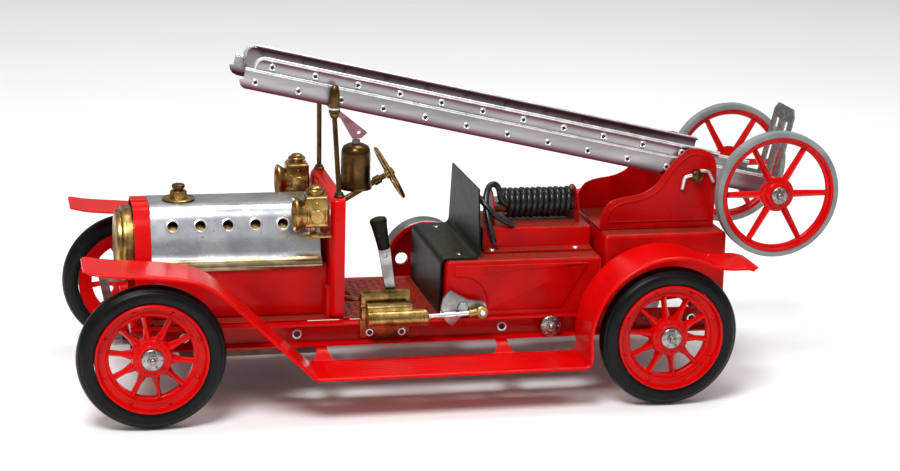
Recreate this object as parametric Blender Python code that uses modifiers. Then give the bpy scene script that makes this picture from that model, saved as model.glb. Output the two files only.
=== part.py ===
"""Toy live-steam fire engine with a wheeled escape ladder.

Every size is in millimetres and each helper turns it into Blender's metres.
The vehicle faces -X, its left side is -Y, and the ground is Z = 0. The stations
along the vehicle count from the front axle, and the parent empty moves them
so that the middle of the whole object stands on the world's origin.
"""
import math

import bmesh
import bpy
from mathutils import Matrix, Vector

MM = 0.001
GAP = 0.3                # between touching pieces
LEFT, RIGHT = -1, 1
SIDES = {"left": LEFT, "right": RIGHT}

# Road wheels and axles
WHEELBASE = 274.7
TYRE_RADIUS = 38.1
TYRE_SECTION = 6.0
RIM_RADIUS = 29.0
RIM_DEPTH = 11.6
WINDOW_RADIUS = 21.0
HUB_RADIUS = 9.7
HUB_CAP_RADIUS = 5.8
SPOKES = 10
SPOKE_WIDTH = 3.4
WHEEL_Y = 72.9
AXLE_RADIUS = 2.0
AXLE_CLEARANCE = 0.3
WHEEL_STEPS = 20

# Chassis
RAIL_WEB_Y = 36.0
RAIL_FLANGE = 7.5
RAIL_LOW = 30.3
RAIL_HIGH = 42.6
RAIL_FRONT = -8.0
RAIL_BEHIND_AXLE = 45.0
RAIL_GAUGE = 1.0
SHEET = 0.8

# Wings and running boards
WING_IN = 50.0
WING_WIDTH = 30.5
BOARD_Z = 24.0
WING_LIP = 1.2
WING_CLEAR = 6.4
STAY_WIDTH = 6.0

# Boiler, bonnet, firebox
BOILER_RADIUS = 20.2
BOILER_Z = 79.0
BOILER_FRONT = -14.0
BONNET_TOP = 102.0
BONNET_REAR = 94.0
BONNET_HOLES = 5
HOLE_RADIUS = 3.1
BAND_HALF = 4.2
FIREBOX_HALF = 27.5
FIREBOX_TOP = 72.0

# Bulkhead and cab
BULKHEAD_X = 97.4
BULKHEAD_DEPTH = 7.6
BULKHEAD_HALF = 37.5
BULKHEAD_TOP = 109.0
CAB_LENGTH = 51.0
SEAT_Z = 74.5
SEAT_DEPTH = 21.5
SEAT_HALF = 37.9
SEAT_BACK_TOP = 111.0
SEAT_BACK_HALF = 32.1

# Body, hose tray, rear box
BODY_LENGTH = 86.0
BODY_HALF = 40.0
BODY_TOP = 73.6
TRAY_HALF = 20.0
TRAY_TOP = 85.6
HOSE_RADIUS = 1.7
HOSE_TURN_RADIUS = 6.5
HOSE_TURNS = 12
REAR_BOX_LENGTH = 70.0
REAR_BOX_TOP = 84.0
REAR_BOX_HALF = 34.5
CHEEK_CLEAR = 2.5        # from the lower rails to a cheek's middle

# Escape ladder
LADDER_TILT = 12.49
PIVOT = (303.0, 0.0, 113.7)
LADDER_FRONT = -254.5    # along the ladder, from the pivot
LADDER_REAR = 47.0
LADDER_HALF = 21.0
LADDER_RISE = 2.2        # middle of the rails above the pivot
LADDER_LIP = 1.0
LADDER_RAIL = 11.0
RUNGS = 11
RUNG_PITCH = 23.25
RUNG_RADIUS = 1.4
RUNG_HOLE = 4.3          # rung above the bottom of its rail
UPPER_LENGTH = 264.5
UPPER_RAIL = 10.8
UPPER_RUNG = 4.2         # rung below the top of its rail
LADDER_AXLE = (42.2, 1.4)
LADDER_WHEEL_RADIUS = 35.1
LADDER_WHEEL_Y = 39.5
LADDER_TYRE_WIDTH = 6.5
LADDER_TYRE_THICK = 4.2
LADDER_SPOKES = 6
LADDER_WHEEL_STEPS = 18
FOOT_WIDTH = 29.0
FOOT_HEIGHT = 50.0
GANTRY_X = 100.5
KNOB_RADIUS = 2.8

# Steam engine and drive
CRANK = (167.5, 50.0)
CRANK_RADIUS = 10.2
CRANK_ANGLE = -12.0
ENGINE_Y = -49.0
CYLINDER_PIVOT = (126.0, 47.0)
CYLINDER_RADIUS = 4.6
CYLINDER_FRONT = 115.0
CYLINDER_LENGTH = 33.0
ROD_RADIUS = 1.3
FLYWHEEL_RADIUS = 23.0
FLYWHEEL_WIDTH = 13.5
FLYWHEEL_Y = 47.5
LAYSHAFT = (217.3, 37.0)
SHAFT_RADIUS = 1.8
BELT_RADIUS = 0.9
BELT_STEPS = 6
CRANK_PULLEY = 5.0
LAY_LARGE_PULLEY = 12.0
LAY_SMALL_PULLEY = 5.0
AXLE_PULLEY = 14.0
FRONT_BELT_Y = 10.0
REAR_BELT_Y = -10.0

# Steering
KINGPIN_Y = 58.5
KINGPIN_RADIUS = 1.2
STEER_ARM = 16.0
STEERING_Y = 20.0
STEERING_HUB = (135.0, 106.4)
STEERING_RAKE = 30.0
STEERING_RADIUS = 15.6

# Derived stations
AXLE_Z = TYRE_RADIUS
REAR_AXLE_X = WHEELBASE
RAIL_REAR = REAR_AXLE_X + RAIL_BEHIND_AXLE
BULKHEAD_REAR = BULKHEAD_X + BULKHEAD_DEPTH
FLOOR_Z = RAIL_HIGH + GAP
SEAT_X = BULKHEAD_REAR + CAB_LENGTH + 1.0
BODY_FRONT = SEAT_X + 3.0
BODY_REAR = BODY_FRONT + BODY_LENGTH
REAR_BOX_FRONT = BODY_REAR + 3.0
REAR_BOX_REAR = REAR_BOX_FRONT + REAR_BOX_LENGTH
CHEEK_Y = LADDER_HALF + CHEEK_CLEAR
TILT = math.radians(LADDER_TILT)
LADDER_WHEEL_X = PIVOT[0] + LADDER_AXLE[0] * math.cos(TILT) + LADDER_AXLE[1] * math.sin(TILT)
OBJECT_REAR = LADDER_WHEEL_X + LADDER_WHEEL_RADIUS
ORIGIN_X = -(OBJECT_REAR - TYRE_RADIUS) / 2

for old in list(bpy.data.objects):
    bpy.data.objects.remove(old, do_unlink=True)

engine_parts = bpy.data.collections.new("fire_engine")
tools = bpy.data.collections.new("cutting_tools")
bpy.context.scene.collection.children.link(engine_parts)
bpy.context.scene.collection.children.link(tools)

vehicle = bpy.data.objects.new("vehicle", None)
vehicle.location = (ORIGIN_X * MM, 0, 0)
engine_parts.objects.link(vehicle)

ladder_frame = bpy.data.objects.new("ladder_frame", None)
ladder_frame.parent = vehicle
ladder_frame.location = Vector(PIVOT) * MM
ladder_frame.rotation_euler = (0, TILT, 0)
engine_parts.objects.link(ladder_frame)


def finish(name, colour, roughness, metallic):
    """A plain Principled material."""
    material = bpy.data.materials.new(name)
    material.use_nodes = True
    shader = material.node_tree.nodes["Principled BSDF"]
    shader.inputs["Base Color"].default_value = (*colour, 1)
    shader.inputs["Roughness"].default_value = roughness
    shader.inputs["Metallic"].default_value = metallic
    return material


RED = finish("red_enamel", (0.62, 0.008, 0.012), 0.3, 0.0)
BRASS = finish("brass", (0.55, 0.36, 0.12), 0.35, 1.0)
NICKEL = finish("nickel", (0.62, 0.62, 0.62), 0.25, 1.0)
ALUMINIUM = finish("aluminium", (0.66, 0.64, 0.65), 0.35, 1.0)
BLACK_SHEET = finish("black_enamel", (0.02, 0.02, 0.015), 0.45, 0.0)
RUBBER = finish("black_rubber", (0.012, 0.012, 0.013), 0.5, 0.0)
GREY_TYRE = finish("grey_tyre", (0.30, 0.32, 0.30), 0.5, 0.0)
STEEL = finish("steel", (0.40, 0.38, 0.37), 0.35, 1.0)
DARK_STEEL = finish("dark_steel", (0.10, 0.09, 0.09), 0.5, 1.0)


def add(name, bm, material, origin=(0, 0, 0), parent=None, turn=(0, 0, 0)):
    """Make an object from a bmesh in millimetres, and place it."""
    bmesh.ops.scale(bm, vec=(MM, MM, MM), verts=bm.verts)
    mesh = bpy.data.meshes.new(name)
    bm.to_mesh(mesh)
    bm.free()
    mesh.materials.append(material)
    return place(bpy.data.objects.new(name, mesh), origin, parent, turn)


def place(obj, origin, parent=None, turn=(0, 0, 0)):
    """Parent an object and set its place, in millimetres and degrees."""
    obj.parent = parent or vehicle
    obj.location = Vector(origin) * MM
    obj.rotation_euler = [math.radians(angle) for angle in turn]
    engine_parts.objects.link(obj)
    return obj


def as_tool(obj):
    """Turn an object into a hidden tool for a Boolean."""
    engine_parts.objects.unlink(obj)
    tools.objects.link(obj)
    obj.hide_render = True
    obj.display_type = "WIRE"
    return obj


def combine(target, tool, operation):
    """Join, cut or intersect a solid with a tool."""
    modifier = target.modifiers.new(operation.lower(), "BOOLEAN")
    modifier.operation = operation
    modifier.solver = "EXACT"
    modifier.object = as_tool(tool)
    return target


def smooth(obj, angle=35):
    """Shade a round piece smooth, with its edges kept sharp."""
    obj.data.shade_smooth()
    obj.data.set_sharp_from_angle(angle=math.radians(angle))
    return obj


def box_into(bm, low, high):
    """Add a box between two corners."""
    low, high = Vector(low), Vector(high)
    matrix = Matrix.Translation((low + high) / 2) @ Matrix.Diagonal((*(high - low), 1))
    bmesh.ops.create_cube(bm, size=1, matrix=matrix)


def rod_into(bm, start, end, radius, sides=12, end_radius=None):
    """Add a round bar or a cone between two points."""
    start, end = Vector(start), Vector(end)
    turn = (end - start).to_track_quat("Z", "Y").to_matrix().to_4x4()
    bmesh.ops.create_cone(bm, cap_ends=True, segments=sides, radius1=radius,
                          radius2=radius if end_radius is None else end_radius,
                          depth=(end - start).length,
                          matrix=Matrix.Translation((start + end) / 2) @ turn)


def boxes(name, corners, material, **where):
    """An object holding one box for each pair of corners."""
    bm = bmesh.new()
    for low, high in corners:
        box_into(bm, low, high)
    return add(name, bm, material, **where)


def rods(name, bars, material, sides=12, **where):
    """An object holding one round bar for each (start, end, radius)."""
    bm = bmesh.new()
    for start, end, radius in bars:
        rod_into(bm, start, end, radius, sides)
    return smooth(add(name, bm, material, **where))


def turned(name, profile, steps, material, closed=False, **where):
    """A turned shape: (radius, height) points spun round local Z."""
    bm = bmesh.new()
    points = [bm.verts.new((radius, 0, height)) for radius, height in profile]
    pairs = list(zip(points, points[1:]))
    if closed:
        pairs.append((points[-1], points[0]))
    for pair in pairs:
        bm.edges.new(pair)
    obj = add(name, bm, material, **where)
    screw = obj.modifiers.new("turn", "SCREW")
    screw.steps = steps
    screw.render_steps = steps
    screw.use_merge_vertices = True
    screw.merge_threshold = 0.00002
    screw.use_smooth_shade = True
    return obj


def sheet(name, profile, run, material, gauge=SHEET, **where):
    """A folded sheet: a profile line drawn out along a vector."""
    bm = bmesh.new()
    points = [bm.verts.new(point) for point in profile]
    edges = [bm.edges.new(pair) for pair in zip(points, points[1:])]
    drawn = bmesh.ops.extrude_edge_only(bm, edges=edges)["geom"]
    moved = [item for item in drawn if isinstance(item, bmesh.types.BMVert)]
    bmesh.ops.translate(bm, vec=run, verts=moved)
    return solid_sheet(add(name, bm, material, **where), gauge)


def solid_sheet(obj, gauge=SHEET):
    """Give an open surface its gauge, half to each side."""
    wall = obj.modifiers.new("gauge", "SOLIDIFY")
    wall.thickness = gauge * MM
    wall.offset = 0
    wall.use_even_offset = True
    return obj


def outline(name, points, thickness, material, **where):
    """A flat plate in its local XY plane, as a welded mesh."""
    curve = bpy.data.curves.new(name, "CURVE")
    curve.dimensions = "2D"
    curve.fill_mode = "BOTH"
    curve.extrude = thickness / 2 * MM
    spline = curve.splines.new("POLY")
    spline.points.add(len(points) - 1)
    for knot, (x, y) in zip(spline.points, points):
        knot.co = (x * MM, y * MM, 0, 1)
    spline.use_cyclic_u = True
    obj = place(bpy.data.objects.new(name, curve), **where)
    return curve_to_mesh(obj, material)


def tube(name, points, radius, material, cyclic=False, **where):
    """A wire or pipe through points, as a curve with closed ends."""
    curve = bpy.data.curves.new(name, "CURVE")
    curve.dimensions = "3D"
    curve.bevel_depth = radius * MM
    curve.bevel_resolution = 1
    curve.use_fill_caps = not cyclic
    spline = curve.splines.new("POLY")
    spline.points.add(len(points) - 1)
    for knot, point in zip(spline.points, points):
        knot.co = (*(Vector(point) * MM), 1)
    spline.use_cyclic_u = cyclic
    curve.materials.append(material)
    where.setdefault("origin", (0, 0, 0))
    return place(bpy.data.objects.new(name, curve), **where)


def curve_to_mesh(obj, material):
    """Swap a curve object for a mesh with its caps welded on."""
    bpy.context.view_layer.update()
    evaluated = obj.evaluated_get(bpy.context.evaluated_depsgraph_get())
    mesh = bpy.data.meshes.new_from_object(evaluated)
    bm = bmesh.new()
    bm.from_mesh(mesh)
    bmesh.ops.remove_doubles(bm, verts=bm.verts, dist=0.00001)
    bm.to_mesh(mesh)
    bm.free()
    mesh.materials.clear()
    mesh.materials.append(material)
    solid = bpy.data.objects.new(obj.name, mesh)
    engine_parts.objects.link(solid)
    solid.parent = obj.parent
    solid.matrix_world = obj.matrix_world
    name = obj.name
    bpy.data.objects.remove(obj, do_unlink=True)
    solid.name = name
    return solid


def polar(centre, radius, degrees):
    """A point on a circle in a plane."""
    angle = math.radians(degrees)
    return (centre[0] + radius * math.cos(angle), centre[1] + radius * math.sin(angle))


def smooth_path(points, parts):
    """A Catmull-Rom curve through points, each span cut into parts."""
    knots = [Vector(point) for point in points]
    knots = [2 * knots[0] - knots[1]] + knots + [2 * knots[-1] - knots[-2]]
    path = []
    for before, start, end, after in zip(knots, knots[1:], knots[2:], knots[3:]):
        for part in range(parts):
            t = part / parts
            path.append(0.5 * (2 * start + (end - before) * t
                               + (2 * before - 5 * start + 4 * end - after) * t * t
                               + (3 * start - before - 3 * end + after) * t ** 3))
    path.append(knots[-2])
    return path


def spoke_windows(name, count, inner, outer, spoke, depth, **where):
    """The gaps between a wheel's spokes, as one cutting tool."""
    bm = bmesh.new()
    half = 180 / count
    for window in range(count):
        middle = 360 / count * (window + 0.5)
        corners = []
        for radius, width in ((inner, spoke * 1.3), ((inner + outer) / 2, spoke), (outer, spoke)):
            corners.append((radius, half - math.degrees(width / 2 / radius)))
        ring = [polar((0, 0), radius, middle - angle) for radius, angle in corners]
        ring.append(polar((0, 0), outer, middle))
        ring += [polar((0, 0), radius, middle + angle) for radius, angle in reversed(corners)]
        face = bm.faces.new([bm.verts.new((x, y, -depth)) for x, y in ring])
        lifted = bmesh.ops.extrude_face_region(bm, geom=[face])["geom"]
        top = [item for item in lifted if isinstance(item, bmesh.types.BMVert)]
        bmesh.ops.translate(bm, vec=(0, 0, 2 * depth), verts=top)
    bmesh.ops.recalc_face_normals(bm, faces=bm.faces)
    return add(name, bm, RED, **where)


def road_wheel(prefix, side, x):
    """A spoked wheel with its hub cap, and the tyre on its rim."""
    where = {"origin": (x, side * WHEEL_Y, AXLE_Z), "turn": (-90 * side, 0, 0)}
    bore = AXLE_RADIUS + AXLE_CLEARANCE
    half = RIM_DEPTH / 2
    profile = [(0, 9.5), (HUB_CAP_RADIUS, 7.0), (HUB_RADIUS, 5.2), (HUB_RADIUS, 2.6), (WINDOW_RADIUS + 1.2, 2.6),
               (RIM_RADIUS, half), (RIM_RADIUS, -half), (WINDOW_RADIUS + 1.6, -half), (WINDOW_RADIUS + 1.6, -1.0),
               (8.0, -1.0), (8.0, -7.0), (bore, -7.0), (bore, 5.0), (0, 5.0)]
    wheel = turned(prefix + "_wheel", profile, WHEEL_STEPS, RED, **where)
    windows = spoke_windows(prefix + "_windows", SPOKES, HUB_RADIUS + 2.6, WINDOW_RADIUS,
                            SPOKE_WIDTH, 12, **where)
    combine(wheel, windows, "DIFFERENCE")
    seat = RIM_RADIUS + GAP
    centre = TYRE_RADIUS - TYRE_SECTION
    swing = math.acos((seat - centre) / TYRE_SECTION)
    section = []
    for step in range(7):
        angle = swing - 2 * swing * step / 6
        section.append((centre + TYRE_SECTION * math.cos(angle), TYRE_SECTION * math.sin(angle)))
    turned(prefix + "_tyre", section, WHEEL_STEPS, RUBBER, closed=True, **where)


def ladder_wheel(name, side):
    """One of the two tall wheels of the escape, with its grey tyre."""
    x, z = LADDER_AXLE
    where = {"origin": (x, side * LADDER_WHEEL_Y, z), "turn": (-90 * side, 0, 0), "parent": ladder_frame}
    rim = LADDER_WHEEL_RADIUS - LADDER_TYRE_THICK
    bore = AXLE_RADIUS + AXLE_CLEARANCE
    profile = [(0, 5.4), (4.8, 3.6), (6.8, 3.2), (6.8, 1.4), (rim - 2.2, 1.4), (rim - 2.0, 2.6), (rim, 2.6),
               (rim, -2.6), (rim - 2.0, -2.6), (rim - 2.2, -1.4), (6.8, -1.4), (6.8, -3.0), (bore, -3.0),
               (bore, 2.2), (0, 2.2)]
    wheel = turned(name + "_wheel", profile, LADDER_WHEEL_STEPS, RED, **where)
    windows = spoke_windows(name + "_windows", LADDER_SPOKES, 9.5, rim - 2.4, 3.6, 6, **where)
    combine(wheel, windows, "DIFFERENCE")
    seat = rim + GAP
    half = LADDER_TYRE_WIDTH / 2
    section = [(LADDER_WHEEL_RADIUS, half - 1.2), (LADDER_WHEEL_RADIUS, 1.2 - half),
               (LADDER_WHEEL_RADIUS - 1.2, -half), (seat, -half), (seat, half),
               (LADDER_WHEEL_RADIUS - 1.2, half)]
    turned(name + "_tyre", section, LADDER_WHEEL_STEPS, GREY_TYRE, closed=True, **where)


def channel(side, x_front, x_rear):
    """Profile of one chassis rail: a channel that opens outwards."""
    web = side * RAIL_WEB_Y
    edge = side * (RAIL_WEB_Y + RAIL_FLANGE)
    half = RAIL_GAUGE / 2
    heights = (RAIL_HIGH - half, RAIL_HIGH - half, RAIL_LOW + half, RAIL_LOW + half)
    return [(x_front, y, z) for y, z in zip((edge, web, web, edge), heights)]


def chassis():
    """Two rails, three cross members and four outriggers, as one frame."""
    run = (RAIL_REAR - RAIL_FRONT, 0, 0)
    frame = sheet("chassis_frame", channel(LEFT, RAIL_FRONT, RAIL_REAR), run, RED, RAIL_GAUGE)
    other = sheet("right_rail", channel(RIGHT, RAIL_FRONT, RAIL_REAR), run, RED, RAIL_GAUGE)
    crossings = (RAIL_FRONT + 1.0, BULKHEAD_REAR + 2.0, RAIL_REAR - 12.0)
    members = boxes("members", [((x, -RAIL_WEB_Y - 0.2, RAIL_LOW + 4), (x + 3, RAIL_WEB_Y + 0.2, RAIL_HIGH - 2.6))
                                for x in crossings], RED)
    combine(frame, members, "UNION")
    combine(frame, other, "UNION")
    for side in (LEFT, RIGHT):
        for x in (89.0, 187.5):
            start = RAIL_WEB_Y + 4.0
            low = BOARD_Z - SHEET / 2 - GAP - 0.5
            stay = [(x, side * start, RAIL_LOW + 0.3), (x, side * (start + 5), RAIL_LOW + 0.3),
                    (x, side * (WING_IN - 0.5), low), (x, side * (WING_IN + 12), low)]
            combine(frame, sheet("stay", stay, (STAY_WIDTH, 0, 0), RED, 1.0), "UNION")
    for side in (LEFT, RIGHT):
        near = side * (RAIL_WEB_Y - 1.0)
        x, z = CRANK
        lug = boxes("bearing_lug", [((x - 4, near - 0.9, RAIL_HIGH - 3), (x + 4, near + 0.9, z + 5))], RED)
        combine(frame, lug, "UNION")
    reach = RAIL_WEB_Y + 4
    radius = SHAFT_RADIUS + AXLE_CLEARANCE
    bores = rods("bores", [((x, -reach, z), (x, reach, z), size) for (x, z), size in (
        (CRANK, radius), (LAYSHAFT, radius), ((REAR_AXLE_X, AXLE_Z), AXLE_RADIUS + AXLE_CLEARANCE))], RED)
    combine(frame, bores, "DIFFERENCE")
    slots = boxes("beam_slot", [((-3.4, -reach, AXLE_Z - 2.9), (3.4, reach, AXLE_Z + 2.9)),
                                ((112.5, -reach - 5, RAIL_HIGH - 1.6), (141.5, -RAIL_WEB_Y - 0.7, RAIL_HIGH + 1))], RED)
    combine(frame, slots, "DIFFERENCE")


def wing_path():
    """Side view of a wing and its running board, as (x, z) points."""
    front = smooth_path([(-33.8, 84.9, 0), (-24.0, 83.5, 0), (-1.0, 81.6, 0), (14.0, 79.9, 0),
                         (25.0, 77.0, 0), (36.0, 69.8, 0), (58.0, 48.8, 0), (81.0, 26.6, 0)], 2)
    path = [(point.x, point.y) for point in front] + [(85.0, BOARD_Z), (REAR_AXLE_X - 46.0, BOARD_Z)]
    arc = TYRE_RADIUS + WING_CLEAR
    centre = (REAR_AXLE_X, AXLE_Z)
    path += [polar(centre, arc, angle) for angle in range(180, 55, -10)]
    tail = REAR_AXLE_X + 32.5
    return path + [(tail, 76.0), (tail + 8.0, 76.4), (tail + 15.8, 73.9)]


def wing_board(name, side):
    """Front wing, running board and rear wing in one long strip."""
    path = wing_path()
    bm = bmesh.new()
    points = [bm.verts.new((x, side * WING_IN, z)) for x, z in path]
    edges = [bm.edges.new(pair) for pair in zip(points, points[1:])]
    strip = bmesh.ops.extrude_edge_only(bm, edges=edges)["geom"]
    outer = [item for item in strip if isinstance(item, bmesh.types.BMVert)]
    bmesh.ops.translate(bm, vec=(0, side * WING_WIDTH, 0), verts=outer)
    rim = [item for item in strip if isinstance(item, bmesh.types.BMEdge)
           and all(vert in outer for vert in item.verts)]
    lip = bmesh.ops.extrude_edge_only(bm, edges=rim)["geom"]
    low = [item for item in lip if isinstance(item, bmesh.types.BMVert)]
    places = [Vector((x, z)) for x, z in path]
    for vert in low:
        index = min(range(len(places)), key=lambda i: (places[i] - vert.co.xz).length)
        ahead = places[min(index + 1, len(places) - 1)] - places[max(index - 1, 0)]
        ahead.normalize()
        vert.co += Vector((ahead.y, 0, -ahead.x)) * WING_LIP
    solid_sheet(add(name, bm, RED))


def boiler_group():
    """Boiler, its front band, the bonnet, the firebox and the burner."""
    rear = BONNET_REAR - 2.0
    profile = [(0, 0), (BOILER_RADIUS - 3, 0.4), (BOILER_RADIUS, 2.4), (BOILER_RADIUS, 9.5)]
    length = rear - BOILER_FRONT
    profile += [(BOILER_RADIUS, length), (0, length)]
    turned("boiler", [(r, -h) for r, h in profile], 24, BRASS, turn=(0, -90, 0),
           origin=(BOILER_FRONT, 0, BOILER_Z))
    top = BONNET_TOP - SHEET / 2
    upper = [(0, y, z) for y, z in ((28.3, 72.9), (26.0, 73.0), (24.0, 78.0), (19.0, 94.0), (11.0, top))]
    upper += [(x, -y, z) for x, y, z in reversed(upper)]
    start = BAND_HALF + GAP
    bonnet = sheet("bonnet_cover", [(start, y, z) for _, y, z in upper], (BONNET_REAR - start, 0, 0), NICKEL)
    bars = []
    for hole in range(BONNET_HOLES):
        x = 17.0 + 15.0 * hole
        for side in (LEFT, RIGHT):
            bars.append(((x, side * 12.0, BONNET_TOP - 7), (x, side * 19.0, BONNET_TOP), HOLE_RADIUS))
    combine(bonnet, rods("bonnet_holes", bars, NICKEL, sides=8), "DIFFERENCE")
    legs = [(-BAND_HALF, y, z) for y, z in ((29.6, RAIL_HIGH + GAP + 0.5), (29.6, 60.0), (26.2, 78.0),
                                            (20.0, 93.6), (11.0, BONNET_TOP - 0.6))]
    legs += [(x, -y, z) for x, y, z in reversed(legs)]
    sheet("front_band", legs, (2 * BAND_HALF, 0, 0), RED, 1.0)
    floor = FLOOR_Z + SHEET / 2
    walls = [(start, -FIREBOX_HALF + 1, FIREBOX_TOP), (start, -FIREBOX_HALF, floor),
             (start, FIREBOX_HALF, floor), (start, FIREBOX_HALF - 1, FIREBOX_TOP)]
    sheet("firebox", walls, (BULKHEAD_X - GAP - start, 0, 0), RED)
    half = FIREBOX_HALF - 6
    tray = boxes("burner_tray", [((8, -half, floor + 1.4), (84, half, floor + 8))], NICKEL)
    well = boxes("tray_well", [((9.2, 1.2 - half, floor + 2.6), (82.8, half - 1.2, floor + 9))], NICKEL)
    combine(tray, well, "DIFFERENCE")
    shield_y = RAIL_WEB_Y + 1.0
    shield = [(18, -shield_y, RAIL_LOW - GAP), (18, -shield_y, 25.4), (18, shield_y, 25.4),
              (18, shield_y, RAIL_LOW - GAP)]
    sheet("ash_shield", shield, (76, 0, 0), DARK_STEEL)


def safety_valve():
    """The valve on the bonnet, and the stem that lifts in it."""
    base = BONNET_TOP + GAP
    body = [(0, 3.0), (1.5, 3.0), (1.5, 8.4), (4.4, 8.2), (4.4, 2.6), (8.2, 2.4), (8.2, 0), (0, 0)]
    turned("safety_valve", body, 16, BRASS, origin=(20.0, 0, base))
    stem = [(0, 11.6), (2.6, 11.4), (3.4, 10.4), (3.4, 9.0), (1.1, 8.8), (1.1, 3.6), (0, 3.4)]
    turned("valve_stem", stem, 12, BRASS, origin=(20.0, 0, base))


def ladder_bottom(x):
    """Height of the lower section's bottom edge at a station."""
    low = LADDER_RISE - LADDER_RAIL / 2
    along = (x - PIVOT[0] - low * math.sin(TILT)) / math.cos(TILT)
    return PIVOT[2] - along * math.sin(TILT) + low * math.cos(TILT)


def bulkhead():
    """The pressed dash between bonnet and cab, open at the back."""
    bm = bmesh.new()
    box_into(bm, (BULKHEAD_X + SHEET / 2, -BULKHEAD_HALF, FLOOR_Z + SHEET / 2),
             (BULKHEAD_REAR, BULKHEAD_HALF, BULKHEAD_TOP - SHEET / 2))
    back = [face for face in bm.faces if face.normal.x > 0.9]
    bmesh.ops.delete(bm, geom=back, context="FACES_ONLY")
    solid_sheet(add("bulkhead", bm, RED))


def gantry():
    """Two splayed posts, their crossbar and the ladder's guide knobs."""
    foot_x, foot_y, foot_z = BULKHEAD_REAR - 2.2, 32.9, BULKHEAD_TOP + GAP
    knob_y = LADDER_HALF + SHEET / 2 + GAP + KNOB_RADIUS + 0.1
    bar_z = ladder_bottom(GANTRY_X) - 1.8
    posts = rods("ladder_gantry", [((foot_x, -foot_y, foot_z + 0.6), (GANTRY_X, -knob_y, bar_z), 1.3)], BRASS)
    other = rods("right_post", [((foot_x, foot_y, foot_z + 0.6), (GANTRY_X, knob_y, bar_z), 1.3)], BRASS)
    bar = rods("crossbar", [((GANTRY_X, -knob_y, bar_z), (GANTRY_X, knob_y, bar_z), 1.4)], BRASS)
    knobs = []
    for side in (LEFT, RIGHT):
        knobs.append(((GANTRY_X, side * knob_y, bar_z - 4), (GANTRY_X, side * knob_y, bar_z + 13.0), KNOB_RADIUS))
        knobs.append(((foot_x, side * foot_y, foot_z), (foot_x, side * foot_y, foot_z + 2.8), 2.1))
    combine(posts, bar, "UNION")
    combine(posts, other, "UNION")
    combine(posts, rods("knobs", knobs, BRASS), "UNION")


def lamp(name, side):
    """A brass oil lamp on a foot in front of the bulkhead."""
    y = side * 38.0
    front, z = 78.3, 101.5
    shell = [(0, 0.6), (7.4, 0.6), (9.2, 0), (9.2, -1.6), (6.8, -3.4), (6.8, -14.4), (5.0, -15.6), (0, -15.6)]
    body = turned(name, shell, 16, BRASS, turn=(0, -90, 0), origin=(front, y, z))
    chimney = rods("chimney", [((front + 9.0, y, z + 3), (front + 9.0, y, z + 15.3), 3.6)], BRASS)
    combine(body, chimney, "UNION")
    low = z - 12.5
    slim = boxes("upright", [((front + 7, y - 1.8, low + 1), (front + 10, y + 1.8, z - 3))], BRASS)
    arm = boxes("arm", [((front + 6.5, y - 2.2, low), (BULKHEAD_X - GAP, y + 2.2, low + 2.2))], BRASS)
    combine(body, slim, "UNION")
    combine(body, arm, "UNION")


def bell_group():
    """The bell, its bracket on the crossbar and its clapper."""
    x, top = 116.8, 132.4
    start = GANTRY_X + 1.4 + GAP
    high = ladder_bottom(GANTRY_X) - 2.0
    plate = [(start, high), (start, high - 5.2), (x - 4, top + 1.0), (x + 4, top + 1.0), (x + 6, top + 5.0)]
    outline("bell_bracket", plate, 1.2, NICKEL, origin=(0, 0, 0), turn=(90, 0, 0))
    outer = [(0, 0), (1.6, -0.4), (1.6, -2.6), (5.0, -3.6), (6.2, -7.0), (6.6, -17.0), (7.4, -23.0), (8.7, -28.0)]
    inner = [(7.9, -28.0), (6.6, -23.0), (5.7, -17.0), (5.3, -7.4), (4.2, -4.8), (0, -4.4)]
    turned("bell", outer + inner, 16, BRASS, origin=(x, 0, top))
    pivot = top - 5.2
    clapper = rods("bell_clapper", [((0, 0, 0), (0, 0, -18), 0.6)], STEEL, origin=(x, 0, pivot))
    bm = bmesh.new()
    bmesh.ops.create_uvsphere(bm, u_segments=8, v_segments=5, radius=1.9)
    combine(clapper, add("ball", bm, STEEL, origin=(x, 0, pivot - 18)), "UNION")


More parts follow.
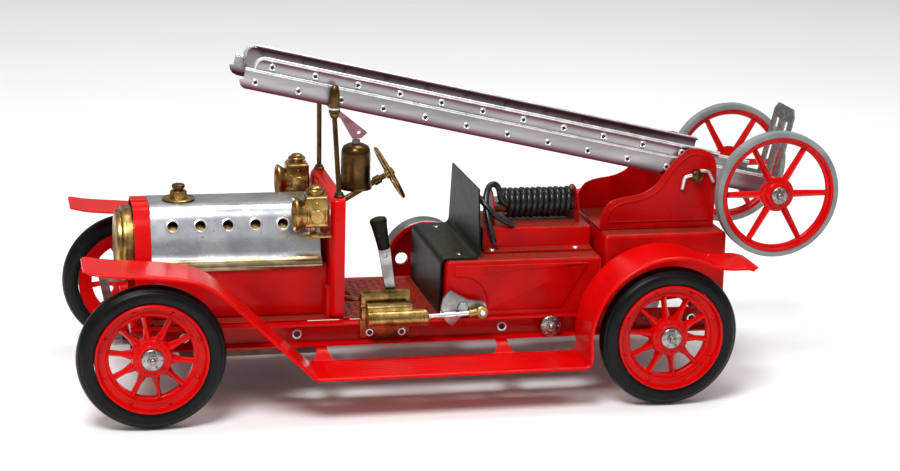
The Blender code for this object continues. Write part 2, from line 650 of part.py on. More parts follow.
def steering():
    """Column, steering wheel, front axle, knuckles and track rod."""
    hub_x, hub_z = STEERING_HUB
    rake = math.radians(STEERING_RAKE)
    along = Vector((math.cos(rake), 0, math.sin(rake)))
    hub = Vector((hub_x, STEERING_Y, hub_z))
    foot = hub - along * ((hub_x - BULKHEAD_X - SHEET - GAP - 1.4) / math.cos(rake))
    rods("steering_column", [(foot, hub - along * 3.2, 1.6)], BRASS)
    turn = (0, 90 - STEERING_RAKE, 0)
    wheel = turned("steering_wheel", [(0, 2.6), (2.6, 2.0), (2.6, -2.6), (0, -2.6)], 12, BRASS,
                   origin=hub, turn=turn)
    ring = [(STEERING_RADIUS + 1.2 * math.cos(math.radians(a)), 1.2 * math.sin(math.radians(a)))
            for a in range(60, -300, -60)]
    combine(wheel, turned("ring", ring, 18, BRASS, closed=True, origin=hub, turn=turn), "UNION")
    reach = STEERING_RADIUS
    for number in range(2):
        bar = boxes("spoke", [((-reach, -1.1, -0.5), (reach, 1.1, 0.5))], BRASS,
                    origin=hub, turn=(0, 90 - STEERING_RAKE, 0))
        bar.rotation_mode = "QUATERNION"
        tilt = Matrix.Rotation(math.radians(90 - STEERING_RAKE), 3, "Y")
        spin = Matrix.Rotation(math.radians(45 + 90 * number), 3, "Z")
        bar.rotation_quaternion = (tilt @ spin).to_quaternion()
        combine(wheel, bar, "UNION")
    eye = 3.0
    low, high = AXLE_Z - 2.5, AXLE_Z + 2.5
    axle = boxes("front_axle", [((-2.8, -KINGPIN_Y, low), (2.8, KINGPIN_Y, high))], RED)
    eyes = rods("eyes", [((0, side * KINGPIN_Y, low - 0.1), (0, side * KINGPIN_Y, high + 0.1), eye)
                         for side in (LEFT, RIGHT)], RED)
    combine(axle, eyes, "UNION")
    holes = rods("kingpin_holes", [((0, side * KINGPIN_Y, low - 3), (0, side * KINGPIN_Y, high + 3),
                                    KINGPIN_RADIUS + 0.35) for side in (LEFT, RIGHT)], RED)
    combine(axle, holes, "DIFFERENCE")
    for word, side in SIDES.items():
        knuckle(word, side, low, high)
    bar_z = high + 0.1 + 2 * GAP + 1.6
    rail = boxes("track_rod", [((-STEER_ARM - 2.4, -KINGPIN_Y - 2.4, bar_z), (-STEER_ARM + 2.4, KINGPIN_Y + 2.4,
                                                                            bar_z + 1.2))], STEEL)
    ends = rods("rod_eyes", [((-STEER_ARM, side * KINGPIN_Y, bar_z - 2), (-STEER_ARM, side * KINGPIN_Y, bar_z + 3),
                              0.9 + 0.4) for side in (LEFT, RIGHT)], STEEL)
    combine(rail, ends, "DIFFERENCE")


def knuckle(word, side, low, high):
    """A stub axle on its kingpin, with the arm for the track rod."""
    y = side * KINGPIN_Y
    gap = 0.1 + GAP
    inner, outer = sorted((side * 4.6, side * 6.2))
    cheek_in, cheek_out = sorted((-side * 2.4, side * 5.4))
    body = boxes(word + "_knuckle", [((-2.6, inner, low - AXLE_Z - gap - 1.6),
                                      (2.6, outer, high - AXLE_Z + gap + 1.6))], STEEL, origin=(0, y, AXLE_Z))
    for z in (high - AXLE_Z + gap, low - AXLE_Z - gap - 1.6):
        combine(body, boxes("cheek", [((-2.5, cheek_in, z + 0.02), (2.5, cheek_out, z + 1.58))], STEEL,
                            origin=(0, y, AXLE_Z)), "UNION")
    pins = rods("pins", [((0, 0, low - AXLE_Z - gap - 1), (0, 0, high - AXLE_Z + gap + 1), KINGPIN_RADIUS),
                         ((0, side * 5.4, 0), (0, side * (WHEEL_Y - KINGPIN_Y + 4.6), 0), AXLE_RADIUS)],
                STEEL, origin=(0, y, AXLE_Z))
    combine(body, pins, "UNION")
    top = high - AXLE_Z + gap
    arm = boxes("arm", [((-STEER_ARM - 2, -1.9, top + 0.1), (0, 1.9, top + 1.5))], STEEL, origin=(0, y, AXLE_Z))
    combine(body, arm, "UNION")
    pin = rods("arm_pin", [((-STEER_ARM, 0, top + 1), (-STEER_ARM, 0, top + 3.4), 0.9)], STEEL,
               origin=(0, y, AXLE_Z))
    combine(body, pin, "UNION")


def cab_and_body():
    """Floor, seat, body box, hose tray and rear box."""
    floor = boxes("floor_plate", [((BULKHEAD_REAR + GAP, -RAIL_WEB_Y + 1, FLOOR_Z),
                                   (SEAT_X - 0.8, RAIL_WEB_Y - 1, FLOOR_Z + SHEET))], RED)
    slot = boxes("pipe_slot", [((BULKHEAD_REAR + 2, -8, FLOOR_Z - 1), (BULKHEAD_REAR + 11, 12, FLOOR_Z + 2))], RED)
    combine(floor, slot, "DIFFERENCE")
    profile = [(SEAT_X, -SEAT_HALF, FLOOR_Z), (SEAT_X, -SEAT_HALF, SEAT_Z),
               (SEAT_X + SEAT_DEPTH, -SEAT_HALF, SEAT_Z), (SEAT_X + SEAT_DEPTH + 1.5, -SEAT_HALF, SEAT_BACK_TOP)]
    seat = sheet("seat", profile, (0, 2 * SEAT_HALF, 0), BLACK_SHEET, 0.9)
    for vert in seat.data.vertices:
        if vert.co.z > (SEAT_BACK_TOP - 1) * MM:
            vert.co.y *= SEAT_BACK_HALF / SEAT_HALF
    body = open_box("body_box", (BODY_FRONT, BODY_REAR), (BODY_HALF, BODY_HALF), (FLOOR_Z, BODY_TOP), 0)
    x, z = CRANK
    slot = boxes("shaft_slot", [((x - 3, -BODY_HALF - 3, FLOOR_Z - 3), (x + 3, BODY_HALF + 3, z + 3))], RED)
    combine(body, slot, "DIFFERENCE")
    combine(body, belt_notch(BODY_REAR), "DIFFERENCE")
    front = SEAT_X + SEAT_DEPTH + 5.5
    rear = BODY_REAR - 1.5
    foot = BODY_TOP + GAP + SHEET / 2
    hat = [(front, -27, foot), (front, -TRAY_HALF, foot), (front, -TRAY_HALF, TRAY_TOP), (front, TRAY_HALF, TRAY_TOP),
           (front, TRAY_HALF, foot), (front, 27, foot)]
    tray = sheet("hose_tray", hat, (rear - front, 0, 0), RED)
    crown = hose_axis() + 9.5
    for x in (front + 9.0, rear - 4.5):
        arch = [(-12.5, TRAY_TOP - 0.2), (12.5, TRAY_TOP - 0.2)]
        arch += [polar((0, crown - 12.5), 12.5, angle) for angle in range(0, 181, 30)]
        plate = outline("end_plate", arch, 0.9, RED, origin=(x, 0, 0), turn=(90, 0, 90))
        combine(tray, plate, "UNION")
    ends = (front + 9.0 + 0.45 + GAP, rear - 4.5 - 0.45 - GAP)
    rods("hose_bar", [((ends[0], 0, hose_axis()), (ends[1], 0, hose_axis()), HOSE_TURN_RADIUS - HOSE_RADIUS - GAP)],
         NICKEL)
    hose(ends)
    rear_box = open_box("rear_box", (REAR_BOX_FRONT, REAR_BOX_REAR), (REAR_BOX_HALF + 1.2, REAR_BOX_HALF),
                        (FLOOR_Z, REAR_BOX_TOP), 7.0)
    combine(rear_box, belt_notch(REAR_BOX_FRONT), "DIFFERENCE")


def belt_notch(x):
    """The slot that lets the rear belt through a box's end wall."""
    return boxes("belt_notch", [((x - 2, REAR_BELT_Y - 3.5, FLOOR_Z - 3), (x + 2, REAR_BELT_Y + 3.5, 55.0))], RED)


def hose_axis():
    """Height of the hose coil's middle line."""
    return TRAY_TOP + SHEET / 2 + GAP + HOSE_TURN_RADIUS + HOSE_RADIUS


def open_box(name, ends, halves, heights, rear_lift):
    """A pressed box with no bottom, and sides that may lean in."""
    (front, rear), (low_half, top_half), (low, top) = ends, halves, heights
    bm = bmesh.new()
    box_into(bm, (front, -low_half, low), (rear, low_half, top - SHEET / 2))
    for vert in bm.verts:
        if vert.co.z > low + 1:
            vert.co.y *= top_half / low_half
        elif vert.co.x > front + 1:
            vert.co.z += rear_lift
    below = [face for face in bm.faces if face.normal.z < -0.9]
    bmesh.ops.delete(bm, geom=below, context="FACES_ONLY")
    return solid_sheet(add(name, bm, RED))


def hose(ends):
    """The wound hose as a plain ring, and its loose end as a tube."""
    length = HOSE_TURNS * 2 * HOSE_RADIUS
    start = ends[1] - length - GAP
    outer = HOSE_TURN_RADIUS + HOSE_RADIUS
    inner = HOSE_TURN_RADIUS - HOSE_RADIUS
    ring = [(outer, length), (outer, 0), (inner, 0), (inner, length)]
    turned("hose_coil", ring, 16, RUBBER, closed=True, origin=(start, 0, hose_axis()), turn=(0, 90, 0))
    x, z = start - HOSE_RADIUS - GAP, hose_axis()
    route = [(x, -6.5, z - 1), (x, -6.8, z + 4), (x - 0.5, -6.6, z + 9), (x - 2.7, -6.9, z + 12.2),
             (x - 6.1, -8.5, z + 11.6), (x - 8.3, -12, z + 7), (x - 9.1, -16, z + 1), (x - 9.1, -20, z - 4.5),
             (x - 8.4, -23.4, z - 11), (x - 6.8, -24.4, z - 16.5)]
    tube("hose_tail", smooth_path(route, 2), HOSE_RADIUS, RUBBER)


def saddle():
    """The folded cheeks that carry the escape, with its pivot studs."""
    base = REAR_BOX_TOP + GAP + SHEET / 2
    front = REAR_BOX_FRONT - 0.6
    rear = REAR_BOX_REAR - 5.0
    fold = [(front, -CHEEK_Y, 135.0), (front, -CHEEK_Y, base), (front, CHEEK_Y, base), (front, CHEEK_Y, 135.0)]
    cheeks = sheet("ladder_saddle", fold, (rear - front, 0, 0), RED)
    px, pz = PIVOT[0], PIVOT[2]
    shape = [(front - 1, base - 3), (front - 0.2, base + 7), (front + 3.9, base + 14.6), (front + 10.7, base + 17.4),
             (px - 31.8, pz - 9.7), (px - 23.4, pz - 4.9), (px - 18.1, pz + 2.3), (px - 12.7, pz + 9.0),
             (px - 7.2, pz + 13.9), (px - 2.7, pz + 15.2), (px + 4.3, pz + 14.2), (px + 9.0, pz + 10.6),
             (rear + 0.3, pz + 3.9), (rear + 1, base - 3)]
    profile = outline("cheek_profile", shape, 60.0, RED, origin=(0, 0, 0), turn=(90, 0, 0))
    combine(cheeks, profile, "INTERSECT")
    web = LADDER_HALF + SHEET / 2
    studs = []
    for side in (LEFT, RIGHT):
        inner = side * (web - SHEET - 0.1)
        studs.append(((px, inner, pz), (px, side * (CHEEK_Y + 3.2), pz), 1.8))
        studs.append(((px, side * (CHEEK_Y + 0.2), pz), (px, side * (CHEEK_Y + 2.8), pz), 3.0))
    for stud in studs:
        combine(cheeks, rods("stud", [stud], BRASS), "UNION")


def ladder():
    """The two ladder sections, their axle, foot plate and wheels."""
    low = LADDER_RISE - LADDER_RAIL / 2 + SHEET / 2
    high = LADDER_RISE + LADDER_RAIL / 2 - SHEET / 2
    shape = [(LADDER_HALF - LADDER_LIP, high), (LADDER_HALF, high), (LADDER_HALF, low), (LADDER_HALF - LADDER_LIP, low)]
    rung_z = LADDER_RISE - LADDER_RAIL / 2 + RUNG_HOLE
    lower = ladder_section("ladder_lower", shape, LADDER_FRONT, LADDER_REAR, LADDER_HALF, rung_z, LADDER_FRONT + 4.6)
    ax, az = LADDER_AXLE
    reach = LADDER_HALF + 2
    holes = rods("ladder_holes", [((0, -reach, 0), (0, reach, 0), 1.8 + 0.4), ((ax, -reach, az), (ax, reach, az), 1.8)],
                 ALUMINIUM, parent=ladder_frame)
    combine(lower, holes, "DIFFERENCE")
    inner = LADDER_HALF - LADDER_LIP - 0.4 - SHEET / 2
    low = rung_z + RUNG_RADIUS + 0.8 + SHEET / 2
    high = low + UPPER_RAIL
    shape = [(inner - LADDER_LIP, high), (inner, high), (inner, low), (inner - LADDER_LIP, low)]
    start = LADDER_FRONT + 1.5
    ladder_section("ladder_upper", shape, start, start + UPPER_LENGTH, inner,
                   high + SHEET / 2 - UPPER_RUNG, start + 10.4)
    reach = LADDER_WHEEL_Y + 1.6
    rods("ladder_axle", [((0, -reach, 0), (0, reach, 0), 1.6)], NICKEL, origin=(ax, 0, az), parent=ladder_frame)
    for word, side in SIDES.items():
        ladder_wheel(word + "_ladder", side)
    foot_plate(ax, az)


def ladder_section(name, shape, front, rear, half, rung_z, first_rung):
    """Two folded rails joined by tubular rungs."""
    run = (rear - front, 0, 0)
    rails = [sheet(name, [(front, side * y, z) for y, z in shape], run, ALUMINIUM, parent=ladder_frame)
             for side in (LEFT, RIGHT)]
    bars = []
    for rung in range(RUNGS):
        x = first_rung + RUNG_PITCH * rung
        bars.append(((x, -half, rung_z), (x, half, rung_z), RUNG_RADIUS))
    bm = bmesh.new()
    for start, end, radius in bars:
        rod_into(bm, start, end, radius, sides=6)
    combine(rails[0], add(name + "_rungs", bm, ALUMINIUM, parent=ladder_frame), "UNION")
    combine(rails[0], rails[1], "UNION")
    rails[0].name = name
    return rails[0]


def foot_plate(ax, az):
    """The slotted steel plate at the foot of the escape."""
    width, height = FOOT_WIDTH, FOOT_HEIGHT
    plate = [(-width / 2, 0), (width / 2, 0), (width / 2, height - 4), (width / 2 - 4, height),
             (4 - width / 2, height), (-width / 2, height - 4)]
    x = ax + 9.0
    blade = outline("foot_plate", plate, 1.0, STEEL, origin=(x, 0, az - 6.0), turn=(90, 0, 90), parent=ladder_frame)
    blade.rotation_euler = (math.radians(90), 0, math.radians(90))
    slots = boxes("foot_slots", [((x - 3, y - 2.3, az + 2), (x + 3, y + 2.3, az + 36)) for y in (-6.5, 6.5)],
                  STEEL, parent=ladder_frame)
    combine(blade, slots, "DIFFERENCE")
    grip = FOOT_WIDTH / 2 - 1.0
    for side in (LEFT, RIGHT):
        near, far = sorted((side * (grip - 0.8), side * grip))
        ear = boxes("ear", [((ax - 4.5, near, az - 4.6), (x + 0.2, far, az + 3.4))], STEEL, parent=ladder_frame)
        combine(blade, ear, "UNION")
    hole = rods("ear_holes", [((ax, -20, az), (ax, 20, az), 1.6 + 0.3)], STEEL, parent=ladder_frame)
    combine(blade, hole, "DIFFERENCE")


def pulley(radius, z):
    """Profile points of a grooved pulley, from its top to its bottom."""
    groove = radius - BELT_RADIUS - GAP
    rim = radius + 1.0
    half = BELT_RADIUS + GAP
    return [(rim, z + half + 0.8), (rim, z + half), (groove, z + half), (groove, z - half), (rim, z - half),
            (rim, z - half - 0.8)]


def shaft(name, centre, reach, pulleys, radius, material):
    """A shaft along Y with its pulleys turned on it."""
    profile = [(0, reach[1]), (radius, reach[1])]
    for size, y in sorted(pulleys, key=lambda item: -item[1]):
        grooved = pulley(size, y)
        profile += [(radius, grooved[0][1])] + grooved + [(radius, grooved[-1][1])]
    profile += [(radius, reach[0]), (0, reach[0])]
    x, z = centre
    return turned(name, profile, 12, material, origin=(x, 0, z), turn=(-90, 0, 0))


def belt(name, first, second, radii, y):
    """A spring belt round two pulleys."""
    a, b = Vector(first), Vector(second)
    span = b - a
    heading = math.degrees(math.atan2(span.y, span.x))
    spread = math.degrees(math.acos((radii[0] - radii[1]) / span.length))
    points = []
    for centre, radius, start, wrap in ((a, radii[0], heading + spread, 360 - 2 * spread),
                                        (b, radii[1], heading - spread, 2 * spread)):
        reach = radius / math.cos(math.radians(wrap / BELT_STEPS / 2))
        for step in range(BELT_STEPS + 1):
            points.append(polar(centre, reach, start + wrap * step / BELT_STEPS))
    tube(name, [(x, y, z) for x, z in points], BELT_RADIUS, STEEL, cyclic=True)


def drive():
    """Rear axle, layshaft, crankshaft, flywheel and the two belts."""
    axle_end = WHEEL_Y + 4.6
    shaft("rear_axle", (REAR_AXLE_X, AXLE_Z), (-axle_end, axle_end), [(AXLE_PULLEY, REAR_BELT_Y)], AXLE_RADIUS, STEEL)
    cap = RAIL_WEB_Y + RAIL_FLANGE + GAP
    lay = [(0, cap + 3.6), (2.4, cap + 3.4), (2.4, cap + 1.2), (5.6, cap + 1.0), (5.6, cap), (SHAFT_RADIUS, cap)]
    for size, y in ((LAY_LARGE_PULLEY, FRONT_BELT_Y), (LAY_SMALL_PULLEY, REAR_BELT_Y)):
        grooved = pulley(size, y)
        lay += [(SHAFT_RADIUS, grooved[0][1])] + grooved + [(SHAFT_RADIUS, grooved[-1][1])]
    lay += [(radius, -height) for radius, height in ((SHAFT_RADIUS, cap), (5.6, cap), (5.6, cap + 1.0),
                                                     (2.4, cap + 1.2), (2.4, cap + 3.4), (0, cap + 3.6))]
    turned("layshaft", lay, 12, NICKEL, origin=(LAYSHAFT[0], 0, LAYSHAFT[1]), turn=(-90, 0, 0))
    far = FLYWHEEL_Y + FLYWHEEL_WIDTH + 1.0
    web_y = ENGINE_Y + ROD_RADIUS + GAP + 0.6
    crank = shaft("crankshaft", CRANK, (web_y + 0.8, far), [(CRANK_PULLEY, FRONT_BELT_Y)], SHAFT_RADIUS, STEEL)
    x, z = CRANK
    angle = math.radians(CRANK_ANGLE)
    fan = [(3.2, 4.2), (-4.0, 4.2)] + [polar((0, 0), 11.7, degrees) for degrees in range(124, 237, 14)]
    fan += [(-4.0, -4.2), (3.2, -4.2), (CRANK_RADIUS, -3.2), (CRANK_RADIUS + 3.0, -1.6), (CRANK_RADIUS + 3.0, 1.6),
            (CRANK_RADIUS, 3.2)]
    turned_fan = [(px * math.cos(angle) - pz * math.sin(angle), px * math.sin(angle) + pz * math.cos(angle))
                  for px, pz in fan]
    web = outline("crank_web", turned_fan, 1.8, STEEL, origin=(x, web_y + 0.9, z), turn=(90, 0, 0))
    combine(crank, web, "UNION")
    bore = SHAFT_RADIUS + GAP
    rim = FLYWHEEL_RADIUS
    wide = FLYWHEEL_WIDTH
    wheel = [(rim, wide), (rim, 0), (rim - 2.6, 0), (rim - 2.6, wide * 0.45), (6, wide * 0.45), (6, 2), (bore, 2),
             (bore, wide - 1), (6, wide - 1), (6, wide * 0.65), (rim - 2.6, wide * 0.65), (rim - 2.6, wide)]
    flywheel = turned("flywheel", wheel, 20, RED, closed=True, origin=(x, FLYWHEEL_Y, z), turn=(-90, 0, 0))
    holes = []
    for number in range(5):
        hx, hy = polar((0, 0), 13.2, 72 * number + 36)
        holes.append(((hx, hy, -1), (hx, hy, wide + 1), 3.6))
    cutter = rods("flywheel_holes", holes, RED, sides=8, origin=(x, FLYWHEEL_Y, z), turn=(-90, 0, 0))
    combine(flywheel, cutter, "DIFFERENCE")
    belt("front_belt", CRANK, LAYSHAFT, (CRANK_PULLEY, LAY_LARGE_PULLEY), FRONT_BELT_Y)
    belt("rear_belt", LAYSHAFT, (REAR_AXLE_X, AXLE_Z), (LAY_SMALL_PULLEY, AXLE_PULLEY), REAR_BELT_Y)


def steam_engine():
    """Port block, swinging cylinder, piston, lever and steam pipe."""
    web = -(RAIL_WEB_Y + RAIL_GAUGE / 2 + GAP)
    face = ENGINE_Y + CYLINDER_RADIUS + 2 * GAP
    block = boxes("engine_block", [((113.5, web - 1.4, 32.5), (140.5, web, 59.0))], BRASS)
    chest = boxes("chest", [((113.2, face, RAIL_HIGH + 0.6), (139.2, web - 0.4, 59.3))], BRASS)
    combine(block, chest, "UNION")
    stud = rods("lever_stud", [((131.5, web - 1, 53.6), (131.5, web + 4.6, 53.6), 1.0)], BRASS)
    combine(block, stud, "UNION")
    px, pz = CYLINDER_PIVOT
    z = pz - 1.0
    rear = CYLINDER_FRONT + CYLINDER_LENGTH
    cylinder = rods("cylinder", [((CYLINDER_FRONT - px, 0, z - pz), (rear - px, 0, z - pz), CYLINDER_RADIUS)],
                    BRASS, origin=(px, ENGINE_Y, pz))
    ridge = boxes("ridge", [((CYLINDER_FRONT - px, -3, z - pz + 2), (rear - px - 8, 3.6, z - pz + 8.4))], BRASS,
                  origin=(px, ENGINE_Y, pz))
    combine(cylinder, ridge, "UNION")
    for start, end, radius in ((CYLINDER_FRONT + 2, rear - 3, 3.4), (rear - 5, rear + 2, ROD_RADIUS + GAP)):
        bore = rods("cylinder_bore", [((start - px, 0, z - pz), (end - px, 0, z - pz), radius)], BRASS,
                    origin=(px, ENGINE_Y, pz))
        combine(cylinder, bore, "DIFFERENCE")
    pin_x, _ = polar(CRANK, CRANK_RADIUS, CRANK_ANGLE)
    piston = rods("piston_rod", [((rear - 8.0, 0, 0), (rear - 4.0, 0, 0), 3.0)], STEEL, origin=(0, ENGINE_Y, z))
    rod = rods("rod", [((rear - 5.0, 0, 0), (pin_x - 2.6, 0, 0), ROD_RADIUS)], STEEL, origin=(0, ENGINE_Y, z))
    end = rods("big_end", [((pin_x, -1.7, 0), (pin_x, 1.2, 0), 3.3)], BRASS, origin=(0, ENGINE_Y, z))
    combine(piston, rod, "UNION")
    combine(piston, end, "UNION")
    lever_y = web + 2.6
    lever = outline("reversing_lever", [(-2.8, -2.4), (0, -3.6), (2.8, -2.4), (-1.6, 28.0), (-8.6, 28.0)], 1.2, STEEL,
                    origin=(131.5, lever_y, 53.6), turn=(90, 0, 0))
    hole = rods("lever_hole", [((131.5, lever_y - 3, 53.6), (131.5, lever_y + 3, 53.6), 1.4)], STEEL)
    combine(lever, hole, "DIFFERENCE")
    bm = bmesh.new()
    rod_into(bm, (-4.9, 0, 27.0), (-8.6, 0, 43.5), 3.3, sides=16, end_radius=4.7)
    combine(lever, add("grip", bm, BLACK_SHEET, origin=(131.5, lever_y, 53.6)), "UNION")
    route = [(BULKHEAD_REAR + GAP + 0.1, -34.0, 54.2), (BULKHEAD_REAR + 3, -36.4, 54.4),
             (BULKHEAD_REAR + 5.3, -39.2, 54.6), (112.3, -40.6, 54.7)]
    tube("steam_pipe", smooth_path(route, 3), 1.25, BRASS)


chassis()
for word, side in SIDES.items():
    wing_board(word + "_wing_board", side)
    lamp(word + "_lamp", side)
    road_wheel(word + "_front", side, 0.0)
    road_wheel(word + "_rear", side, REAR_AXLE_X)
boiler_group()
safety_valve()
bulkhead()
gantry()
bell_group()
steering()
cab_and_body()
saddle()
ladder()
drive()
steam_engine()
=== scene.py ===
# %% [markdown]
# # A toy steam fire engine with a wheeled escape ladder
# A tinplate vehicle of folded red sheet, turned brass and nickel, with spoked wheels,
# long wings and an aluminium ladder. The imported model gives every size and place. Each
# lesson below takes one piece, says what it is, and makes it again with finer edges.

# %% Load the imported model
from math import atan2, cos, pi, radians, sin, sqrt

import bmesh
import bpy
from mathutils import Matrix, Vector


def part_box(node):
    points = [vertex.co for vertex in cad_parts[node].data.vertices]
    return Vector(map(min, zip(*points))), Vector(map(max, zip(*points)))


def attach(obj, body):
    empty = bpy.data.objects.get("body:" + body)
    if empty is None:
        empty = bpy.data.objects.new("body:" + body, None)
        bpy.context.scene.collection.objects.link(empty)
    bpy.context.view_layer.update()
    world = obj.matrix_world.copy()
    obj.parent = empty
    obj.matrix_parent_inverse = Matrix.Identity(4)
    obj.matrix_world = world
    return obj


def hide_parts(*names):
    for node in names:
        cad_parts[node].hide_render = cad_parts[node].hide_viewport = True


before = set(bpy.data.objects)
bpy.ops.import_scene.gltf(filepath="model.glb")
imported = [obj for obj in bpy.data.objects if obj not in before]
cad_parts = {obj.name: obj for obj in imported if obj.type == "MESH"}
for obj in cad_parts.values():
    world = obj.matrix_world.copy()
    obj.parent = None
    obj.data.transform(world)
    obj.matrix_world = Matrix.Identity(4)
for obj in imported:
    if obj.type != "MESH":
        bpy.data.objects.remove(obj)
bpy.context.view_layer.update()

# %% [markdown]
# ## Millimetres and places
# The drawings of this vehicle count millimetres from its front axle, so pieces are made
# in those numbers and one matrix carries them to the world. The ladder leans, and has a
# second matrix that starts at its pivot.

# %% The two places that everything starts from
MM = 0.001
front_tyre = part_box("left_front_tyre")
FRONT_AXLE = (front_tyre[0].x + front_tyre[1].x) / 2
VEHICLE = Matrix.Translation((FRONT_AXLE, 0, 0)) @ Matrix.Scale(MM, 4)
TILT = radians(12.49)
PIVOT = Vector((303.0, 0.0, 113.7))
LADDER = Matrix.Translation(PIVOT) @ Matrix.Rotation(TILT, 4, "Y")
LEFT, RIGHT = -1, 1
WHEELBASE, AXLE_Z, WHEEL_Y = 274.7, 38.1, 72.9
CRANK_X, CRANK_Z, LAY_X, LAY_Z = 167.5, 50.0, 217.3, 37.0
ENGINE_Y = -49.0
BELL_X, BELL_Z = 116.8, 132.4
LAMP_X, LAMP_Y, LAMP_Z = 78.3, 38.0, 101.5
FLOOR_X, FLOOR_HALF = (105.4, 156.2), 36.8
SIDES = {"left": LEFT, "right": RIGHT}
print("front axle at x =", round(FRONT_AXLE, 4), "m")

# %% [markdown]
# ## Finishes
# Every finish is a Principled shader fed by noise on Object coordinates: one noise moves
# the colour between two shades, one moves the roughness, and a fine one makes a bump.
# Object coordinates are metres here, so a scale of 100 gives patches about a centimetre
# wide. Values that are the same all over are typed on the shader's own sockets.


# %% A helper that builds a finish
def link(made):
    """Put a new object in the scene."""
    bpy.context.scene.collection.objects.link(made)
    return made


def fill(node, **values):
    """Type values on a node's sockets; an underscore stands for a space."""
    for name, value in values.items():
        node.inputs[name.replace("_", " ")].default_value = value


SLOTS, COAT_ROUGH, GRAIN_DEPTH = {}, 0.12, 0.0002


def finish(name, slot, shades, patch=60, rough=(0.25, 0.4), metallic=0.0, coat=0.0, grain=900, bump=0.1,
        stretch=(1, 1, 1), specks=None, dust=None, shine=0.5, painted_band=None):
    """A worn, painted or plated surface, and the slot it fills."""
    SLOTS[name] = slot
    material = bpy.data.materials.new(name)
    material.use_nodes = True
    nodes, links = material.node_tree.nodes, material.node_tree.links
    shader = nodes["Principled BSDF"]
    fill(shader, Metallic=metallic, Coat_Weight=coat, Specular_IOR_Level=shine, Coat_Roughness=COAT_ROUGH)
    place = nodes.new("ShaderNodeTexCoord").outputs["Object"]
    mapping = nodes.new("ShaderNodeMapping")
    fill(mapping, Scale=stretch)
    links.new(place, mapping.inputs["Vector"])

    def noise(scale, detail=3.0):
        node = nodes.new("ShaderNodeTexNoise")
        fill(node, Scale=scale, Detail=detail)
        links.new(mapping.outputs["Vector"], node.inputs["Vector"])
        return node.outputs["Fac"]

    def ramp(value, stops):
        node = nodes.new("ShaderNodeValToRGB")
        for element, (where, colour) in zip(node.color_ramp.elements, stops):
            element.position = where
            element.color = (*colour, 1)
        links.new(value, node.inputs["Fac"])
        return node.outputs["Color"]

    def mix(factor, below, colour):
        node = nodes.new("ShaderNodeMix")
        node.data_type = "RGBA"
        links.new(factor, node.inputs[0])
        links.new(below, node.inputs[6])
        node.inputs[7].default_value = (*colour, 1)
        return node.outputs[2]

    colour = ramp(noise(patch), [(0.35, shades[0]), (0.65, shades[1])])
    if dust:
        normal = nodes.new("ShaderNodeNewGeometry").outputs["Normal"]
        split = nodes.new("ShaderNodeSeparateXYZ")
        links.new(normal, split.inputs[0])
        level = ramp(split.outputs["Z"], [(0.75, (0, 0, 0)), (0.97, (1, 1, 1))])
        patchy = nodes.new("ShaderNodeMath")
        patchy.operation = "MULTIPLY"
        links.new(level, patchy.inputs[0])
        links.new(ramp(noise(260, 5), [(0.3, (0.35,) * 3), (0.62, (0.95,) * 3)]), patchy.inputs[1])
        colour = mix(patchy.outputs[0], colour, dust)
    # Painted light: a second colour laid on along one direction, which the ladder uses for a painted
    # reflection and a painted shade.
    if painted_band:
        direction, low, high, shade = painted_band
        along = nodes.new("ShaderNodeVectorMath")
        along.operation = "DOT_PRODUCT"
        along.inputs[1].default_value = direction
        links.new(place, along.inputs[0])
        depth = nodes.new("ShaderNodeMapRange")
        depth.interpolation_type = "SMOOTHSTEP"
        fill(depth, From_Min=low, From_Max=high, To_Min=1.0, To_Max=0.0)
        links.new(along.outputs["Value"], depth.inputs["Value"])
        colour = mix(depth.outputs["Result"], colour, shade)
    if specks:
        colour = mix(ramp(noise(650, 2), [(0.70, (0, 0, 0)), (0.74, (1, 1, 1))]), colour, specks)
    links.new(colour, shader.inputs["Base Color"])
    sheen = nodes.new("ShaderNodeMapRange")
    fill(sheen, To_Min=rough[0], To_Max=rough[1])
    links.new(noise(patch * 3, 4), sheen.inputs["Value"])
    links.new(sheen.outputs["Result"], shader.inputs["Roughness"])
    relief = nodes.new("ShaderNodeBump")
    fill(relief, Strength=bump, Distance=GRAIN_DEPTH)
    links.new(noise(grain, 2), relief.inputs["Height"])
    links.new(relief.outputs["Normal"], shader.inputs["Normal"])
    return material


# %% [markdown]
# The red enamel is a clear-coated paint. Where it lies flat inside the body, dust has
# settled, so a second red adds a dull brown wherever the surface faces up. Brass is
# darker where hands don't rub it, and the drawn aluminium has a grain along the rails.
# The ladder's aluminium also carries painted light: a painted red reflection that darkens
# the lower rails towards their foot, and painted shade along the top of the extension.

# %% The finishes of this vehicle
RED = finish("signal_red", "red_enamel", ((0.47, 0.0008, 0.001), (0.57, 0.0014, 0.0014)), 40, (0.16, 0.3),
    coat=0.07, grain=1400, bump=0.05, specks=(0.18, 0.002, 0.002), shine=0.11)
DUSTY_RED = finish("dusty_red", "red_enamel", ((0.36, 0.0006, 0.0008), (0.50, 0.001, 0.001)), 50,
    (0.22, 0.38), coat=0.04, grain=1400, bump=0.06, specks=(0.10, 0.002, 0.002), dust=(0.13, 0.028, 0.014),
    shine=0.09)
BRASS = finish("polished_brass", "brass", ((0.20, 0.11, 0.028), (0.52, 0.34, 0.12)), 160, (0.2, 0.4),
    metallic=1.0, grain=1800, bump=0.15)
DARK_BRASS = finish("aged_brass", "brass", ((0.07, 0.036, 0.014), (0.17, 0.095, 0.032)), 120, (0.22, 0.38),
    metallic=1.0, grain=1500, bump=0.12)
NICKEL = finish("nickel_plate", "nickel", ((0.52, 0.55, 0.60), (0.80, 0.81, 0.82)), 60, (0.18, 0.34),
    metallic=1.0, bump=0.05, specks=(0.2, 0.19, 0.18))
RISE = (sin(TILT), 0.0, cos(TILT))
